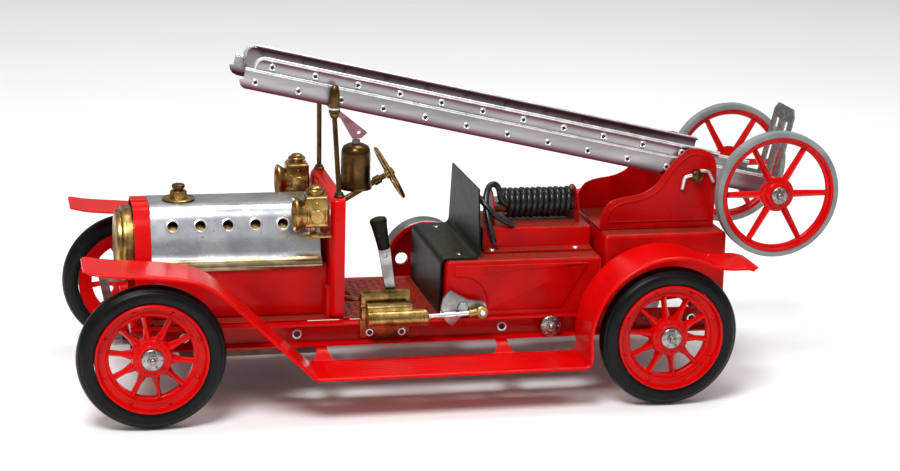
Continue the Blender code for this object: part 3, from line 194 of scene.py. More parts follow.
RAIL_FOOT = sum(a * b for a, b in zip(RISE, VEHICLE @ PIVOT))
LADDER_METAL = dict(shades=((0.30, 0.285, 0.295), (0.50, 0.48, 0.49)), patch=90, rough=(0.24, 0.38),
    metallic=0.85, grain=700, bump=0.12, stretch=(0.08, 1, 1))
# Painted reflection: the lower rails darken to a dark red towards their foot, standing for the red body
# reflected in the aluminium.
ALUMINIUM = finish("drawn_aluminium_painted_reflection", "aluminium", **LADDER_METAL, painted_band=(RISE, RAIL_FOOT - 0.0030,
    RAIL_FOOT + 0.0020, (0.085, 0.010, 0.022)))
FALL = (-RISE[0], 0.0, -RISE[2])
# Painted shade: the extension's webs darken to a dark red along their top, under the bead.
UPPER_ALUMINIUM = finish("upper_aluminium_painted_shade", "aluminium", **LADDER_METAL, painted_band=(FALL, -RAIL_FOOT - 0.0130,
    -RAIL_FOOT - 0.0095, (0.13, 0.045, 0.06)))
# A reddish aluminium tone, used on the bell plate.
REDDISH_ALUMINIUM = finish("reddish_aluminium", "aluminium", ((0.20, 0.07, 0.09), (0.36, 0.17, 0.20)), 90,
    (0.28, 0.42), metallic=0.8, grain=700, bump=0.12)
SILVER = finish("bright_plate", "nickel", ((0.62, 0.62, 0.63), (0.90, 0.90, 0.91)), 200, (0.18, 0.3),
    metallic=0.75, bump=0.05)
CAP_PLATE = finish("worn_plate", "nickel", ((0.22, 0.20, 0.19), (0.40, 0.38, 0.37)), 130, (0.2, 0.34),
    metallic=1.0, bump=0.1)
LIP_PLATE = finish("lip_plate", "nickel", ((0.16, 0.10, 0.05), (0.42, 0.33, 0.20)), 90, (0.16, 0.26),
    metallic=1.0, bump=0.05)
RUBBER = finish("tyre_rubber", "black_rubber", ((0.002, 0.002, 0.0025), (0.005, 0.005, 0.006)), 70,
    (0.3, 0.42), bump=0.2, shine=0.16)
HOSE_RUBBER = finish("hose_rubber", "black_rubber", ((0.006, 0.007, 0.007), (0.016, 0.017, 0.017)), 300,
    (0.2, 0.34), bump=0.15, shine=0.42)
GREY_RUBBER = finish("grey_rubber", "grey_tyre", ((0.15, 0.165, 0.17), (0.24, 0.255, 0.245)), 60,
    (0.38, 0.52), bump=0.25)
BLACK = finish("satin_black", "black_enamel", ((0.003, 0.003, 0.002), (0.008, 0.007, 0.005)), 80, (0.36, 0.5),
    bump=0.2, specks=(0.04, 0.036, 0.028), dust=(0.030, 0.026, 0.016), shine=0.13)
STEEL = finish("plain_steel", "steel", ((0.22, 0.21, 0.20), (0.46, 0.45, 0.45)), 150, (0.24, 0.4),
    metallic=1.0, bump=0.1)
DARK_STEEL = finish("brown_steel", "dark_steel", ((0.05, 0.03, 0.03), (0.12, 0.06, 0.05)), 120, (0.45, 0.6),
    metallic=0.8)
ZINC = finish("zinc_sheet", "steel", ((0.16, 0.17, 0.16), (0.34, 0.35, 0.33)), 420, (0.35, 0.5),
    metallic=0.85, grain=600, bump=0.15)
# Painted shade: black discs for the hollow inside the ladder's rolled tube ends.
HOLE_SHADE = finish("painted_hole_shade", "black_enamel", ((0.004, 0.004, 0.004), (0.010, 0.009, 0.009)), 100,
    (0.6, 0.8))
print("finishes:", len(bpy.data.materials))

# %% [markdown]
# ## Making solids
# A few helpers cover most of a tin toy: a turned shape (spin), a folded sheet (extrude an
# edge and solidify), a cut plate (extrude a face and bevel), a block and a bar. Each
# returns a small bmesh, and `put` adds it to the piece at its place.


# %% Turned, folded and cut shapes
def at(x, y, z):
    return Matrix.Translation((x, y, z))


def about(axis, degrees):
    return Matrix.Rotation(radians(degrees), 4, axis)


def facing(side, x, y, z):
    """A place on one side of the vehicle whose Z looks outwards."""
    return at(x, side * y, z) @ about("X", -90 * side)


def circle(radius, degrees, middle=(0, 0)):
    """A point on a circle in a plane."""
    return middle[0] + radius * cos(radians(degrees)), middle[1] + radius * sin(radians(degrees))


def only(kind, geometry):
    return [item for item in geometry if isinstance(item, kind)]


def tidy(part):
    """Merge doubles and point every face outwards."""
    bmesh.ops.remove_doubles(part, verts=part.verts, dist=0.0005)
    bmesh.ops.recalc_face_normals(part, faces=part.faces)
    return part


def turned(profile, steps=40, closed=False):
    """(radius, height) points spun round Z."""
    part = bmesh.new()
    points = [part.verts.new((radius, 0, height)) for radius, height in profile]
    pairs = list(zip(points, points[1:])) + ([(points[-1], points[0])] if closed else [])
    edges = [part.edges.new(pair) for pair in pairs]
    bmesh.ops.spin(part, geom=points + edges, cent=(0, 0, 0), axis=(0, 0, 1), angle=2 * pi, steps=steps,
        use_merge=True)
    return tidy(part)


def rounded(points, radius, parts=3, closed=False):
    """A path of straight lines with its corners rounded."""
    points = [Vector(point) for point in points]
    path = [] if closed else [points[0]]
    count = len(points)
    for index in range(count) if closed else range(1, count - 1):
        before, corner, after = points[index - 1], points[index], points[(index + 1) % count]
        reach = min(radius, (before - corner).length * 0.45, (after - corner).length * 0.45)
        start = corner + (before - corner).normalized() * reach
        end = corner + (after - corner).normalized() * reach
        for part in range(parts + 1):
            t = part / parts
            path.append(start * (1 - t) ** 2 + corner * (2 * t * (1 - t)) + end * t * t)
    return path if closed else path + [points[-1]]


def folded(profile, run, gauge=0.8):
    """A sheet: a profile line drawn along a vector, with its gauge shared by both sides."""
    part = bmesh.new()
    points = [part.verts.new(point) for point in profile]
    edges = [part.edges.new(pair) for pair in zip(points, points[1:])]
    drawn = bmesh.ops.extrude_edge_only(part, edges=edges)["geom"]
    bmesh.ops.translate(part, vec=run, verts=only(bmesh.types.BMVert, drawn))
    return walled(part, gauge)


def walled(part, gauge=0.8):
    """Give an open surface its thickness."""
    bmesh.ops.recalc_face_normals(part, faces=part.faces)
    part.normal_update()
    for vert in part.verts:
        vert.co += vert.normal * gauge / 2
    bmesh.ops.solidify(part, geom=part.faces[:], thickness=gauge)
    return tidy(part)


def soften(part, edges, width, segments):
    bmesh.ops.bevel(part, geom=edges, offset=width, segments=segments, profile=0.5, affect="EDGES",
        material=-1)


def plate(points, thickness, edge=0, segments=2):
    """A flat plate in XY with its outline's edges bevelled, centred on Z = 0."""
    part = bmesh.new()
    face = part.faces.new([part.verts.new((point[0], point[1], -thickness / 2)) for point in points])
    lifted = bmesh.ops.extrude_face_region(part, geom=[face])["geom"]
    bmesh.ops.translate(part, vec=(0, 0, thickness), verts=only(bmesh.types.BMVert, lifted))
    bmesh.ops.recalc_face_normals(part, faces=part.faces)
    if edge:
        rim = [e for e in part.edges if abs(e.verts[0].co.z - e.verts[1].co.z) < 0.001]
        soften(part, rim, edge, segments)
    return tidy(part)


def block(low, high, edge=0.4, segments=2):
    """A box between two corners with soft edges."""
    part = bmesh.new()
    low, high = Vector(low), Vector(high)
    shape = Matrix.Translation((low + high) / 2) @ Matrix.Diagonal((*(high - low), 1))
    bmesh.ops.create_cube(part, size=1, matrix=shape)
    if edge:
        soften(part, part.edges[:], edge, segments)
    return part


def aim(start, towards):
    """A place at a point whose Z looks along a direction."""
    turn = Vector(towards).to_track_quat("Z", "Y").to_matrix().to_4x4()
    return Matrix.Translation(Vector(start)) @ turn


def bar(start, end, radius, steps=20, edge=0.25, end_radius=None):
    """A round bar between two points with broken edges."""
    start, end = Vector(start), Vector(end)
    length = (end - start).length
    last = radius if end_radius is None else end_radius
    part = turned([(0, 0), (radius - edge, 0), (radius, edge), (last, length - edge), (last - edge, length),
        (0, length)], steps)
    part.transform(aim(start, end - start))
    return part


def dome(radius, height):
    """A rivet head, flat side down on Z = 0."""
    return turned([(0, height), (radius * 0.55, height * 0.86), (radius * 0.9, height * 0.45), (radius, 0),
        (radius * 0.9, -0.3), (0, -0.3)], 10)


def ring_of(piece, count, head, reach, level, first=0, place=Matrix()):
    """Rivet heads in a circle; head is a radius and a height."""
    for number in range(count):
        put(piece, dome(*head), place @ about("Z", 360 / count * number + first) @ at(reach, 0, level))


def tube(path, radius, sides=10):
    """A wire along a path: a ring carried from point to point and bridged."""
    part = bmesh.new()
    path = [Vector(point) for point in path]
    rings = []
    for index, point in enumerate(path):
        ahead = path[min(index + 1, len(path) - 1)] - path[max(index - 1, 0)]
        made = bmesh.ops.create_circle(part, segments=sides, radius=radius, matrix=aim(point, ahead))["verts"]
        rings.append([edge for edge in part.edges if all(vert in made for vert in edge.verts)])
    for first, second in zip(rings, rings[1:]):
        bmesh.ops.bridge_loops(part, edges=first + second)
    bmesh.ops.holes_fill(part, edges=[edge for edge in part.edges if edge.is_boundary], sides=0)
    return tidy(part)


def put(piece, part, place=None):
    """Add a part to a piece and free it."""
    if place is not None:
        part.transform(place)
    mesh = bpy.data.meshes.new("part")
    part.to_mesh(mesh)
    part.free()
    piece.from_mesh(mesh)
    bpy.data.meshes.remove(mesh)
    return piece


def begin(part, place=None):
    """A piece that starts with one part."""
    return put(bmesh.new(), part, place)


def show(name, piece, material, body="vehicle", stands_for=(), place=None, angle=38):
    """Turn a bmesh in millimetres into a piece that rides on a body."""
    piece.transform(VEHICLE @ place if place is not None else VEHICLE)
    mesh = bpy.data.meshes.new(name)
    piece.to_mesh(mesh)
    piece.free()
    mesh.materials.append(material)
    mesh.shade_smooth()
    mesh.set_sharp_from_angle(angle=radians(angle))
    made = link(bpy.data.objects.new(name, mesh))
    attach(made, body)
    if stands_for:
        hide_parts(*stands_for)
    print(name, len(mesh.polygons), "faces")
    return made


def cut(part, tool):
    """Take a tool's shape out of a part."""
    holders = []
    for shape in (part, tool):
        mesh = bpy.data.meshes.new("cutting")
        shape.to_mesh(mesh)
        shape.free()
        holders.append(link(bpy.data.objects.new("cutting", mesh)))
    modifier = holders[0].modifiers.new("cut", "BOOLEAN")
    modifier.operation, modifier.solver, modifier.object = "DIFFERENCE", "EXACT", holders[1]
    bpy.context.view_layer.update()
    opened = bmesh.new()
    opened.from_mesh(holders[0].evaluated_get(bpy.context.evaluated_depsgraph_get()).data)
    for holder in holders:
        bpy.data.objects.remove(holder, do_unlink=True)
    return opened


# %% [markdown]
# ## Road wheels
# A road wheel is a pressed red disc: a rolled rim with rivets on its flat ring, ten
# ridged spokes, a flanged hub, and a nickel cap with a nut. The black tyre is a solid
# ring. All of them are turned, and only the spokes are drawn out and copied.

# %% Rim, spokes, hub and tyre
ROAD_RIM = [(29, 5.4), (28.9, 6.1), (28.3, 6.5), (27.7, 6.2), (27.4, 5.2), (27.1, 3.4), (26.7, 2.9),
    (24.4, 2.7), (24, 2.9), (23.5, 2.9), (23.2, 2.5), (23, 1.6), (21.9, 1.3), (21.5, 0.8), (21.5, -2.4),
    (22.2, -3.2), (27.4, -4.4), (29, -5.4)]
ROAD_HUB = [(0, 5.4), (7.2, 5.4), (7.6, 5), (9.2, 4.8), (9.8, 4.4), (10, 3.2), (10.4, 2.4), (10.8, 1.4),
    (10.6, -1.4), (8.4, -2), (8, -7), (0, -7)]
NICKEL_CAP = [(0, 6.9), (4.9, 6.9), (5.5, 6.6), (5.8, 6), (5.8, 5.2), (0, 5.2)]


def spoke(inner, outer, wide_in, wide_out, low, high, ridge=0.16):
    """A ridged spoke along X, wider at its hub."""
    part = bmesh.new()
    section = [(-0.5, 0), (0.5, 0), (0.5, 0.5), (ridge, 1), (-ridge, 1), (-0.5, 0.5)]
    face = part.faces.new([part.verts.new((inner, y * wide_in, low + z * (high - low))) for y, z in section])
    far = bmesh.ops.extrude_face_region(part, geom=[face])["geom"]
    for vert in only(bmesh.types.BMVert, far):
        vert.co = (outer, vert.co.y * wide_out / wide_in, vert.co.z)
    return tidy(part)


def road_wheel(word, side, x, end, body):
    place = facing(side, x, WHEEL_Y, AXLE_Z)
    wheel = bmesh.new()
    put(wheel, turned(ROAD_RIM, 80, closed=True))
    put(wheel, turned(ROAD_HUB, 48))
    for number in range(10):
        turn = about("Z", 36 * number + 28)
        put(wheel, spoke(9, 15.6, 5.4, 2.5, -1.2, 2.6), turn)
        put(wheel, spoke(15, 22.2, 2.5, 2.9, -1.2, 2.2), turn)
    ring_of(wheel, 10, (0.85, 0.75), 8.2, 4.8, 28)
    ring_of(wheel, 8, (1.05, 0.9), 25.6, 2.8, 20)
    show(f"{word}_{end}_wheel_spoked", wheel, RED, body, (f"{word}_{end}_wheel",), place)
    cap = bmesh.new()
    put(cap, turned(NICKEL_CAP, 32))
    put(cap, bar((0, 0, 6.7), (0, 0, 8.3), 2.9, 6, 0.3))
    put(cap, turned([(0, 10), (1, 9.8), (1.7, 9.2), (1.9, 8.2), (0, 8)], 16))
    ring_of(cap, 6, (0.75, 0.7), 4.4, 6.9)
    show(f"{word}_{end}_hub_cap", cap, CAP_PLATE, body, (), place)
    section = []
    for step in range(41):
        angle = 118 - 236 * step / 40
        sunk = 0.3 if round(abs(angle)) in (47, 53, 76, 82) else 0
        angle = radians(angle)
        section.append((32.1 + (6 - sunk) * cos(angle), (5.9 - sunk) * sin(angle)))
    show(f"{word}_{end}_tyre_round", turned(section, 96, closed=True), RUBBER, body, (f"{word}_{end}_tyre",),
        place)


# %% Four road wheels
for word, side in SIDES.items():
    road_wheel(word, side, 0, "front", word + "_front_wheel")
    road_wheel(word, side, WHEELBASE, "rear", "rear_axle")

# %% [markdown]
# ## Escape wheels
# The ladder stands on two tall wheels. Each has six ridged spokes, a thin red rim and a
# grey tyre with a flat tread and a fine line moulded round it.

# %% Two tall wheels on the ladder
ESCAPE_TYRE = [(31.8, 2.9), (32.2, 3.25), (34.2, 3.25), (34.9, 2.9), (35.1, 2.2), (35.1, 0.6), (34.75, 0.35),
    (34.75, -0.15), (35.1, -0.4), (35.1, -2.2), (34.9, -2.9), (34.2, -3.25), (32.2, -3.25), (31.8, -2.9)]
ESCAPE_RIM = [(32, 2.9), (31.8, 3.6), (31.2, 3.8), (30.6, 3.5), (30.3, 2.6), (30.1, 1.4), (29.4, 1.2),
    (28.8, 0.9), (28.5, 0.3), (28.5, -0.4), (28.8, -1.2), (29.6, -2.4), (30.6, -2.9), (32, -2.9)]
ESCAPE_HUB = [(0, 4.3), (5, 3.9), (5.3, 3.4), (6.2, 3.2), (6.9, 2.6), (7.4, 1.8), (9.2, 1.5), (9.6, 1),
    (9.6, -1), (7, -1.4), (6.8, -3), (0, -3)]
ESCAPE_CAP = [(0, 5.2), (3.9, 5.2), (4.5, 4.9), (4.8, 4.4), (4.8, 3.6), (0, 3.6)]
for word, side in SIDES.items():
    place = LADDER @ facing(side, 42.2, 39.5, 1.4)
    body = word + "_ladder_wheel"
    wheel = bmesh.new()
    put(wheel, turned(ESCAPE_RIM, 80, closed=True))
    put(wheel, turned(ESCAPE_HUB, 40))
    for number in range(6):
        put(wheel, spoke(6, 28.8, 3.9, 2.9, -1.5, 1.9, 0.1),
            Matrix.Rotation(radians(60 * number) - side * TILT, 4, "Z"))
    show(body + "_spoked", wheel, RED, body, (body,), place)
    show(word + "_ladder_tyre_flat", turned(ESCAPE_TYRE, 96, closed=True), GREY_RUBBER, body,
        (word + "_ladder_tyre",), place)
    cap = begin(turned(ESCAPE_CAP, 32))
    put(cap, turned([(0, 7), (1.2, 6.8), (1.9, 6.1), (2.1, 5), (0, 5)], 16))
    ring_of(cap, 8, (0.6, 0.45), 3.5, 5.2)
    show(word + "_ladder_wheel_cap", cap, CAP_PLATE, body, (), place)

# %% [markdown]
# ## The ladder
# Each section is a pair of folded aluminium rails held apart by tubes. A tube's end is
# rolled over outside the rail and shows as a bright ring; the black disc in its middle is
# painted shade for the hollow of the tube. The lower rail is a channel with a rounded toe
# and a bright tube along its top that is a painted highlight; the upper rail has a bead
# along its top that runs down round its front corner, bright plated as a painted highlight.

# %% Rails of the lower section
LOWER_HALF, LOWER_LOW, LOWER_HIGH = 21, -3.3, 7.7
LADDER_TOE, LADDER_END = -256.4, 47
lower, beads = bmesh.new(), bmesh.new()
for side in SIDES.values():
    heights = (LOWER_HIGH - 0.6, 5.2, 2.6, 1.3, 1, 0.2, -0.8, -1.8, LOWER_LOW + 0.2)
    profile = [(LADDER_TOE, side * (LOWER_HALF + 0.35 * (1 - ((z - 2.2) / 5.5) ** 2)), z) for z in heights]
    profile.append((LADDER_TOE, side * (LOWER_HALF - 1.8), LOWER_LOW))
    rail = folded(profile, (LADDER_END - LADDER_TOE, 0, 0), 0.8)
    for vert in rail.verts:
        if vert.co.x < LADDER_TOE + 1 and vert.co.z < 1.15:
            vert.co.x += -2 + 4.8 * (1 - sqrt(1 - min(1, (1.15 - vert.co.z) / 4.8) ** 2))
    put(lower, rail)
    # A bright plated tube along the top of the web: a painted highlight on the rail's rounded top.
    edge = side * (LOWER_HALF - 0.1)
    put(beads, tube([(LADDER_TOE, edge, LOWER_HIGH - 0.9), (-100, edge, LOWER_HIGH - 0.9), (LADDER_END, edge,
        LOWER_HIGH - 0.9)], 0.95, 12))

# %% Rungs, their rolled ends and the black discs of painted shade in them
RUNGS, PITCH = 11, 23.25
RING = [(0.95, 0), (0.95, 0.8), (1.3, 1.1), (1.75, 0.95), (2.1, 0.45), (2.2, -0.2), (1.2, -0.2)]


def rungs(piece, rings, holes, first, z, half):
    """The tubes of one ladder section."""
    for number in range(RUNGS):
        x = first + PITCH * number
        put(piece, bar((x, -half, z), (x, half, z), 1.35, 12, 0.05))
        for side in SIDES.values():
            place = facing(side, x, half, z)
            put(rings, turned(RING, 18, closed=True), place)
            # A black disc in each rolled end: painted shade for the hollow of the tube.
            put(holes, turned([(0, 0.45), (1, 0.45), (1, -0.1), (0, -0.1)], 12), place)


rings, holes = bmesh.new(), bmesh.new()
rungs(lower, rings, holes, -249.9, 1, LOWER_HALF + 0.4)
show("ladder_lower_section", lower, ALUMINIUM, "ladder", ("ladder_lower",), LADDER)
show("ladder_lower_painted_highlight", beads, SILVER, "ladder", (), LADDER)
show("ladder_lower_rings", rings, SILVER, "ladder", (), LADDER)
show("ladder_lower_ring_hole_shades", holes, HOLE_SHADE, "ladder", (), LADDER)

# %% The extension that slides in the lower section
UPPER_HALF, UPPER_LOW, UPPER_HIGH = 19.2, 3.4, 13.9
UPPER_TOE, UPPER_END = -251.6, 11.5
TOE_ROUND = 4.6
upper, beads = bmesh.new(), bmesh.new()
toe = [(UPPER_TOE + TOE_ROUND * (1 - sin(radians(a))), UPPER_HIGH - TOE_ROUND * (1 - cos(radians(a))))
    for a in range(0, 91, 15)]
for side in SIDES.values():
    outline = [(UPPER_TOE, UPPER_LOW), (UPPER_END, UPPER_LOW), (UPPER_END, UPPER_HIGH)] + toe
    put(upper, plate(outline, 0.7), at(0, side * UPPER_HALF, 0) @ about("X", 90))
    lip = [(UPPER_TOE, UPPER_LOW + 3.2)] + toe[::-1] + [(-120, UPPER_HIGH), (UPPER_END, UPPER_HIGH)]
    # The bead is real; its bright plate colour is a painted highlight on the aluminium.
    put(beads, tube([(x, side * (UPPER_HALF + 0.35), z) for x, z in lip], 1.05, 12))
    put(upper, folded([(UPPER_TOE + 5, side * UPPER_HALF, UPPER_HIGH + 0.2), (UPPER_TOE + 5,
        side * (UPPER_HALF - 3), UPPER_HIGH)], (UPPER_END - UPPER_TOE - 5, 0, 0), 0.7))
show("ladder_extension_beads_painted_highlight", beads, SILVER, "ladder_extension", (), LADDER)
rings, holes = bmesh.new(), bmesh.new()
rungs(upper, rings, holes, -242.6, 10.2, UPPER_HALF + 0.35)
show("ladder_extension", upper, UPPER_ALUMINIUM, "ladder_extension", ("ladder_upper",), LADDER)
show("ladder_extension_rings", rings, SILVER, "ladder_extension", (), LADDER)
show("ladder_extension_ring_hole_shades", holes, HOLE_SHADE, "ladder_extension", (), LADDER)


def dress(node, material):
    """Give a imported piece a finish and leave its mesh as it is."""
    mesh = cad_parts[node].data
    mesh.materials.clear()
    mesh.materials.append(material)


dress("foot_plate", ZINC)
dress("ladder_axle", STEEL)

# %% [markdown]
# ## Wings and running boards
# One long strip of sheet makes the front wing, the board and the rear wing. Its side view
# is a curve through a few stations. Extruding that line step by step across the width
# gives the flat top, the rounded outer edge and the lip that turns down.


# %% The side view as a curve
def curve_through(points, parts):
    """A smooth line through points, each span cut into parts."""
    knots = [Vector(point) for point in points]
    knots = [2 * knots[0] - knots[1]] + knots + [2 * knots[-1] - knots[-2]]
    path = []
    for a, b, c, d in zip(knots, knots[1:], knots[2:], knots[3:]):
        for part in range(parts):
            t = part / parts
            path.append(0.5 * (2 * b + (c - a) * t + (2 * a - 5 * b + 4 * c - d) * t * t + (3 * b - a - 3 * c
                + d) * t ** 3))
    return path + [knots[-2]]


BOARD_Z, WING_IN, ARCH = 24, 50, 44.5
front_line = curve_through([(-33.8, 84.9), (-24, 83.5), (-1, 81.6), (14, 79.9), (25, 77), (36, 69.8),
    (58, 48.8), (81, 26.6)], 5)
corner_line = rounded([(81, 26.6), (83.9, BOARD_Z), (90, BOARD_Z)], 3, 5)[1:]
rear_line = [(227.7, BOARD_Z), (229.9, BOARD_Z + 1.2)]
rear_line += [circle(ARCH, a, (WHEELBASE, AXLE_Z)) for a in range(190, 62, -5)]
tail_line = curve_through([(295.8, 77.4), (301.5, 76.2), (308, 75.7), (314, 75.8), (318.4, 75.6),
    (321.6, 74.9)], 3)
wing_line = [Vector((p[0], p[1])) for p in front_line + corner_line + rear_line + tail_line]
print("wing line points:", len(wing_line))


# %% Sweep it across the width
CORNER, BLEND, WING_OUT = 4, 14, 80.6
ACROSS = ((0.6, -0.35), (1.2, 0), (1.6, 0), (20, 0), (1.6, 0), (1.6, 0), (1.4, 0), (0.8, 0), (1, 0.2),
    (0.6, 0.45), (0.15, 0.6))


def wing(word, side):
    """Draw the line out sideways, step by step, and round its four corners."""
    part = bmesh.new()
    points = [part.verts.new((p.x, side * WING_IN, p.y)) for p in wing_line]
    edges = [part.edges.new(pair) for pair in zip(points, points[1:])]
    down = []
    for index in range(len(wing_line)):
        ahead = (wing_line[min(index + 1, len(wing_line) - 1)] - wing_line[max(index - 1, 0)]).normalized()
        down.append(Vector((ahead.y, 0, -ahead.x)))
    row = points
    for across, drop in ACROSS:
        drawn = bmesh.ops.extrude_edge_only(part, edges=edges)["geom"]
        new = only(bmesh.types.BMVert, drawn)
        follow = {}
        for vert in new:
            index = min(range(len(row)), key=lambda i: (row[i].co - vert.co).length)
            follow[index] = vert
        for index, vert in follow.items():
            vert.co += Vector((0, side * across, 0)) + down[index] * drop
        edges = [e for e in only(bmesh.types.BMEdge, drawn) if all(v in new for v in e.verts)]
        row = [follow[index] for index in range(len(row))]
    for vert in part.verts:
        for end, way in ((wing_line[0].x, 1), (wing_line[-1].x, -1)):
            inside, reach = (vert.co.x - end) * way, min(WING_OUT - abs(vert.co.y), abs(vert.co.y) - WING_IN)
            if inside < BLEND and reach < CORNER:
                inset = CORNER * (1 - sqrt(max(0, 1 - ((CORNER - reach) / CORNER) ** 2)))
                vert.co.x += way * inset * (1 - max(0, inside) / BLEND)
    piece = begin(walled(part, 0.8))
    for number in range(9):
        y = sorted((side * (55 + 2.6 * number), side * (56.1 + 2.6 * number)))
        put(piece, block((91, y[0], BOARD_Z + 0.1), (226.5, y[1], BOARD_Z + 0.9), 0.25, 1))
    put(piece, dome(1.5, 0.9), at(301, side * 56, 77.1))
    show(word + "_wing", piece, RED, "vehicle", (word + "_wing_board",))


for word, side in SIDES.items():
    wing(word, side)

# %% [markdown]
# ## Chassis
# Two channels open outwards carry everything. Their webs show as a dark band with a
# lighter lower edge, and screws with plated cups hold the works to them. Four bent straps
# reach out to the running boards.

# %% Rails, cross members and straps
def relief(part):
    """Room for the cylinder, the front axle and the three turning shafts."""
    tool = bmesh.new()
    put(tool, block((112.4, -46, 41), (141.6, -36.6, 44), 0))
    put(tool, block((-3.4, -46, 35.1), (3.4, 46, 41.1), 0))
    for x, z, radius in ((CRANK_X, CRANK_Z, 2.1), (LAY_X, LAY_Z, 2.1), (WHEELBASE, AXLE_Z, 2.3)):
        put(tool, bar((x, -46, z), (x, 46, z), radius, 16, 0.05))
    return cut(part, tool)


chassis = bmesh.new()
for side in SIDES.values():
    channel = rounded([(-8, side * 43.5, 42.1), (-8, side * 36, 42.1), (-8, side * 36, 30.8),
        (-8, side * 43.5, 30.8)], 1, 3)
    put(chassis, relief(folded(channel, (327.7, 0, 0), 1)))
    for x in (89, 187.5):
        strap = curve_through([(x, side * 39.5, 29.7), (x, side * 43.5, 29.4), (x, side * 47.4, 26.8),
            (x, side * 50.5, 23.9), (x, side * 54, 23.1), (x, side * 62, 23.1)], 3)
        strap = folded(strap, (6, 0, 0), 0.9)
        for vert in strap.verts:
            flare = max(0, min(1, (abs(vert.co.y) - 45.5) / 5.5))
            vert.co.x = x + 3 + (vert.co.x - x - 3) * (1 + 1.3 * flare * flare)
        put(chassis, strap)
    lug = sorted((side * 34.1, side * 35.9))
    put(chassis, relief(block((163.5, lug[0], 39.6), (171.5, lug[1], 55), 0.5)))
for x in (-7, 107, 307.7):
    put(chassis, block((x, -36.2, 34.3), (x + 3, 36.2, 40), 0.4))
show("chassis_rails", chassis, RED, "vehicle", ("chassis_frame",))

# %% Cup screws on the webs
cups, cup_screws = bmesh.new(), bmesh.new()
for side in SIDES.values():
    for x, z in ((79.7, 35.8), (191.9, 35.6), (20, 36), (252, 36), (300, 36)):
        place = facing(side, x, 36.5, z)
        put(cups, turned([(1.5, 0.6), (1.8, 1.3), (2.5, 1.4), (3, 0.7), (3.1, 0), (1.5, 0)], 24, closed=True),
            place)
        put(cup_screws, turned([(0, 0.9), (1, 0.8), (1.6, 0.5), (1.6, 0), (0, 0)], 16), place)
show("rail_screw_cups", cups, SILVER)
show("rail_screws", cup_screws, DARK_STEEL)

# %% [markdown]
# ## Boiler, bonnet and band
# The brass boiler pokes out in front of a red band. Behind it a nickel bonnet of folded
# sheet covers it, with five collared holes along each shoulder and a raised panel on each
# side. The holes are cut with a Boolean that is applied at once.

# %% The boiler barrel and its band
BOILER_Z = 79
barrel = turned([(0, 1.8), (13, 1.6), (13.4, 1.2), (16.4, 1), (17.6, 1.4), (18.1, 2.2), (18.1, 3.8),
    (18.9, 4.1), (19.9, 4.4), (20.3, 5), (20.3, 6.2), (20, 6.4), (20, 9.6), (19.6, 10), (19.6, 104),
    (0, 104)], 64)
show("boiler_barrel", barrel, BRASS, "vehicle", ("boiler",), at(-14, 0, BOILER_Z) @ about("Y", 90))
band = rounded([(-4.2, 29.6, 43.4), (-4.2, 29.6, 60), (-4.2, 26.4, 78), (-4.2, 20.2, 93.6), (-4.2, 12, 101.6),
    (-4.2, -12, 101.6), (-4.2, -20.2, 93.6), (-4.2, -26.4, 78), (-4.2, -29.6, 60), (-4.2, -29.6, 43.4)], 4, 4)
hoop = begin(folded(band, (8.4, 0, 0), 1))
put(hoop, block((-4, -3, 101.7), (4, 3, 102.6), 0.3))
for y in (-24, 24):
    put(hoop, folded([(-1, y * 1.18, 44), (-1, y * 0.9, 90)], (1, 0, 0), 0.8))
show("boiler_band", hoop, RED, "vehicle", ("front_band",))

# %% The bonnet and its holes
BONNET = [(28.5, 69.9), (29, 71.8), (28, 73.8), (25.9, 75), (24.6, 77.2), (22.6, 85), (17.6, 96.9),
    (14.8, 99.8), (11, 101.6)]
line = BONNET + [(-y, z) for y, z in reversed(BONNET)]
sheet = folded(rounded([(4.5, y, z) for y, z in line], 2.4, 4), (89.5, 0, 0), 0.8)
FACE_OUT = Vector((0, 11.9, 5)).normalized()
drill, collars, panels = bmesh.new(), bmesh.new(), bmesh.new()
HOLE_STATIONS = [16 + 14.6 * number for number in range(5)]
for side in SIDES.values():
    out = Vector((0, side * FACE_OUT.y, FACE_OUT.z))
    for x in HOLE_STATIONS:
        middle = Vector((x, side * 19.7, 91.9))
        put(drill, bar(middle - out * 6, middle + out * 6, 2.8, 28, 0.05))
        put(collars, turned([(2.75, -0.9), (2.75, 1), (3, 1.2), (3.5, 1.05), (3.75, 0.6), (3.8, -0.2)], 36,
            closed=True), aim(middle, out))
    lean_back = atan2(FACE_OUT.y, FACE_OUT.z)
    face = at(0, side * 24, 77.4) @ Matrix.Rotation(lean_back if side < 0 else pi - lean_back, 4, "X")
    put(panels, plate(rounded([(9, 0), (91, 0), (91, 14.6), (9, 14.6)], 2.4, 4, closed=True), 1.5, 0.6, 3),
        face)
bonnet = cut(sheet, drill.copy())
bonnet = put(begin(bonnet), cut(panels, drill))
show("bonnet_sheet", bonnet, NICKEL, "vehicle", ("bonnet_cover",))
show("bonnet_hole_collars", collars, SILVER)
lips = bmesh.new()
for side in SIDES.values():
    lip = rounded([(4.3, side * 28.9, 69.8), (4.3, side * 29.6, 71.6), (4.3, side * 28.4, 74),
        (4.3, side * 26.3, 75.2)], 1.2, 4)
    put(lips, folded(lip, (90, 0, 0), 0.5))
show("bonnet_lips", lips, LIP_PLATE)

# %% [markdown]
# ## Firebox, bulkhead and floor
# The red firebox walls stand under the bonnet. The bulkhead is a shallow pan with rounded
# corners, open to the cab, and the cab floor is stamped with short diagonal bars.


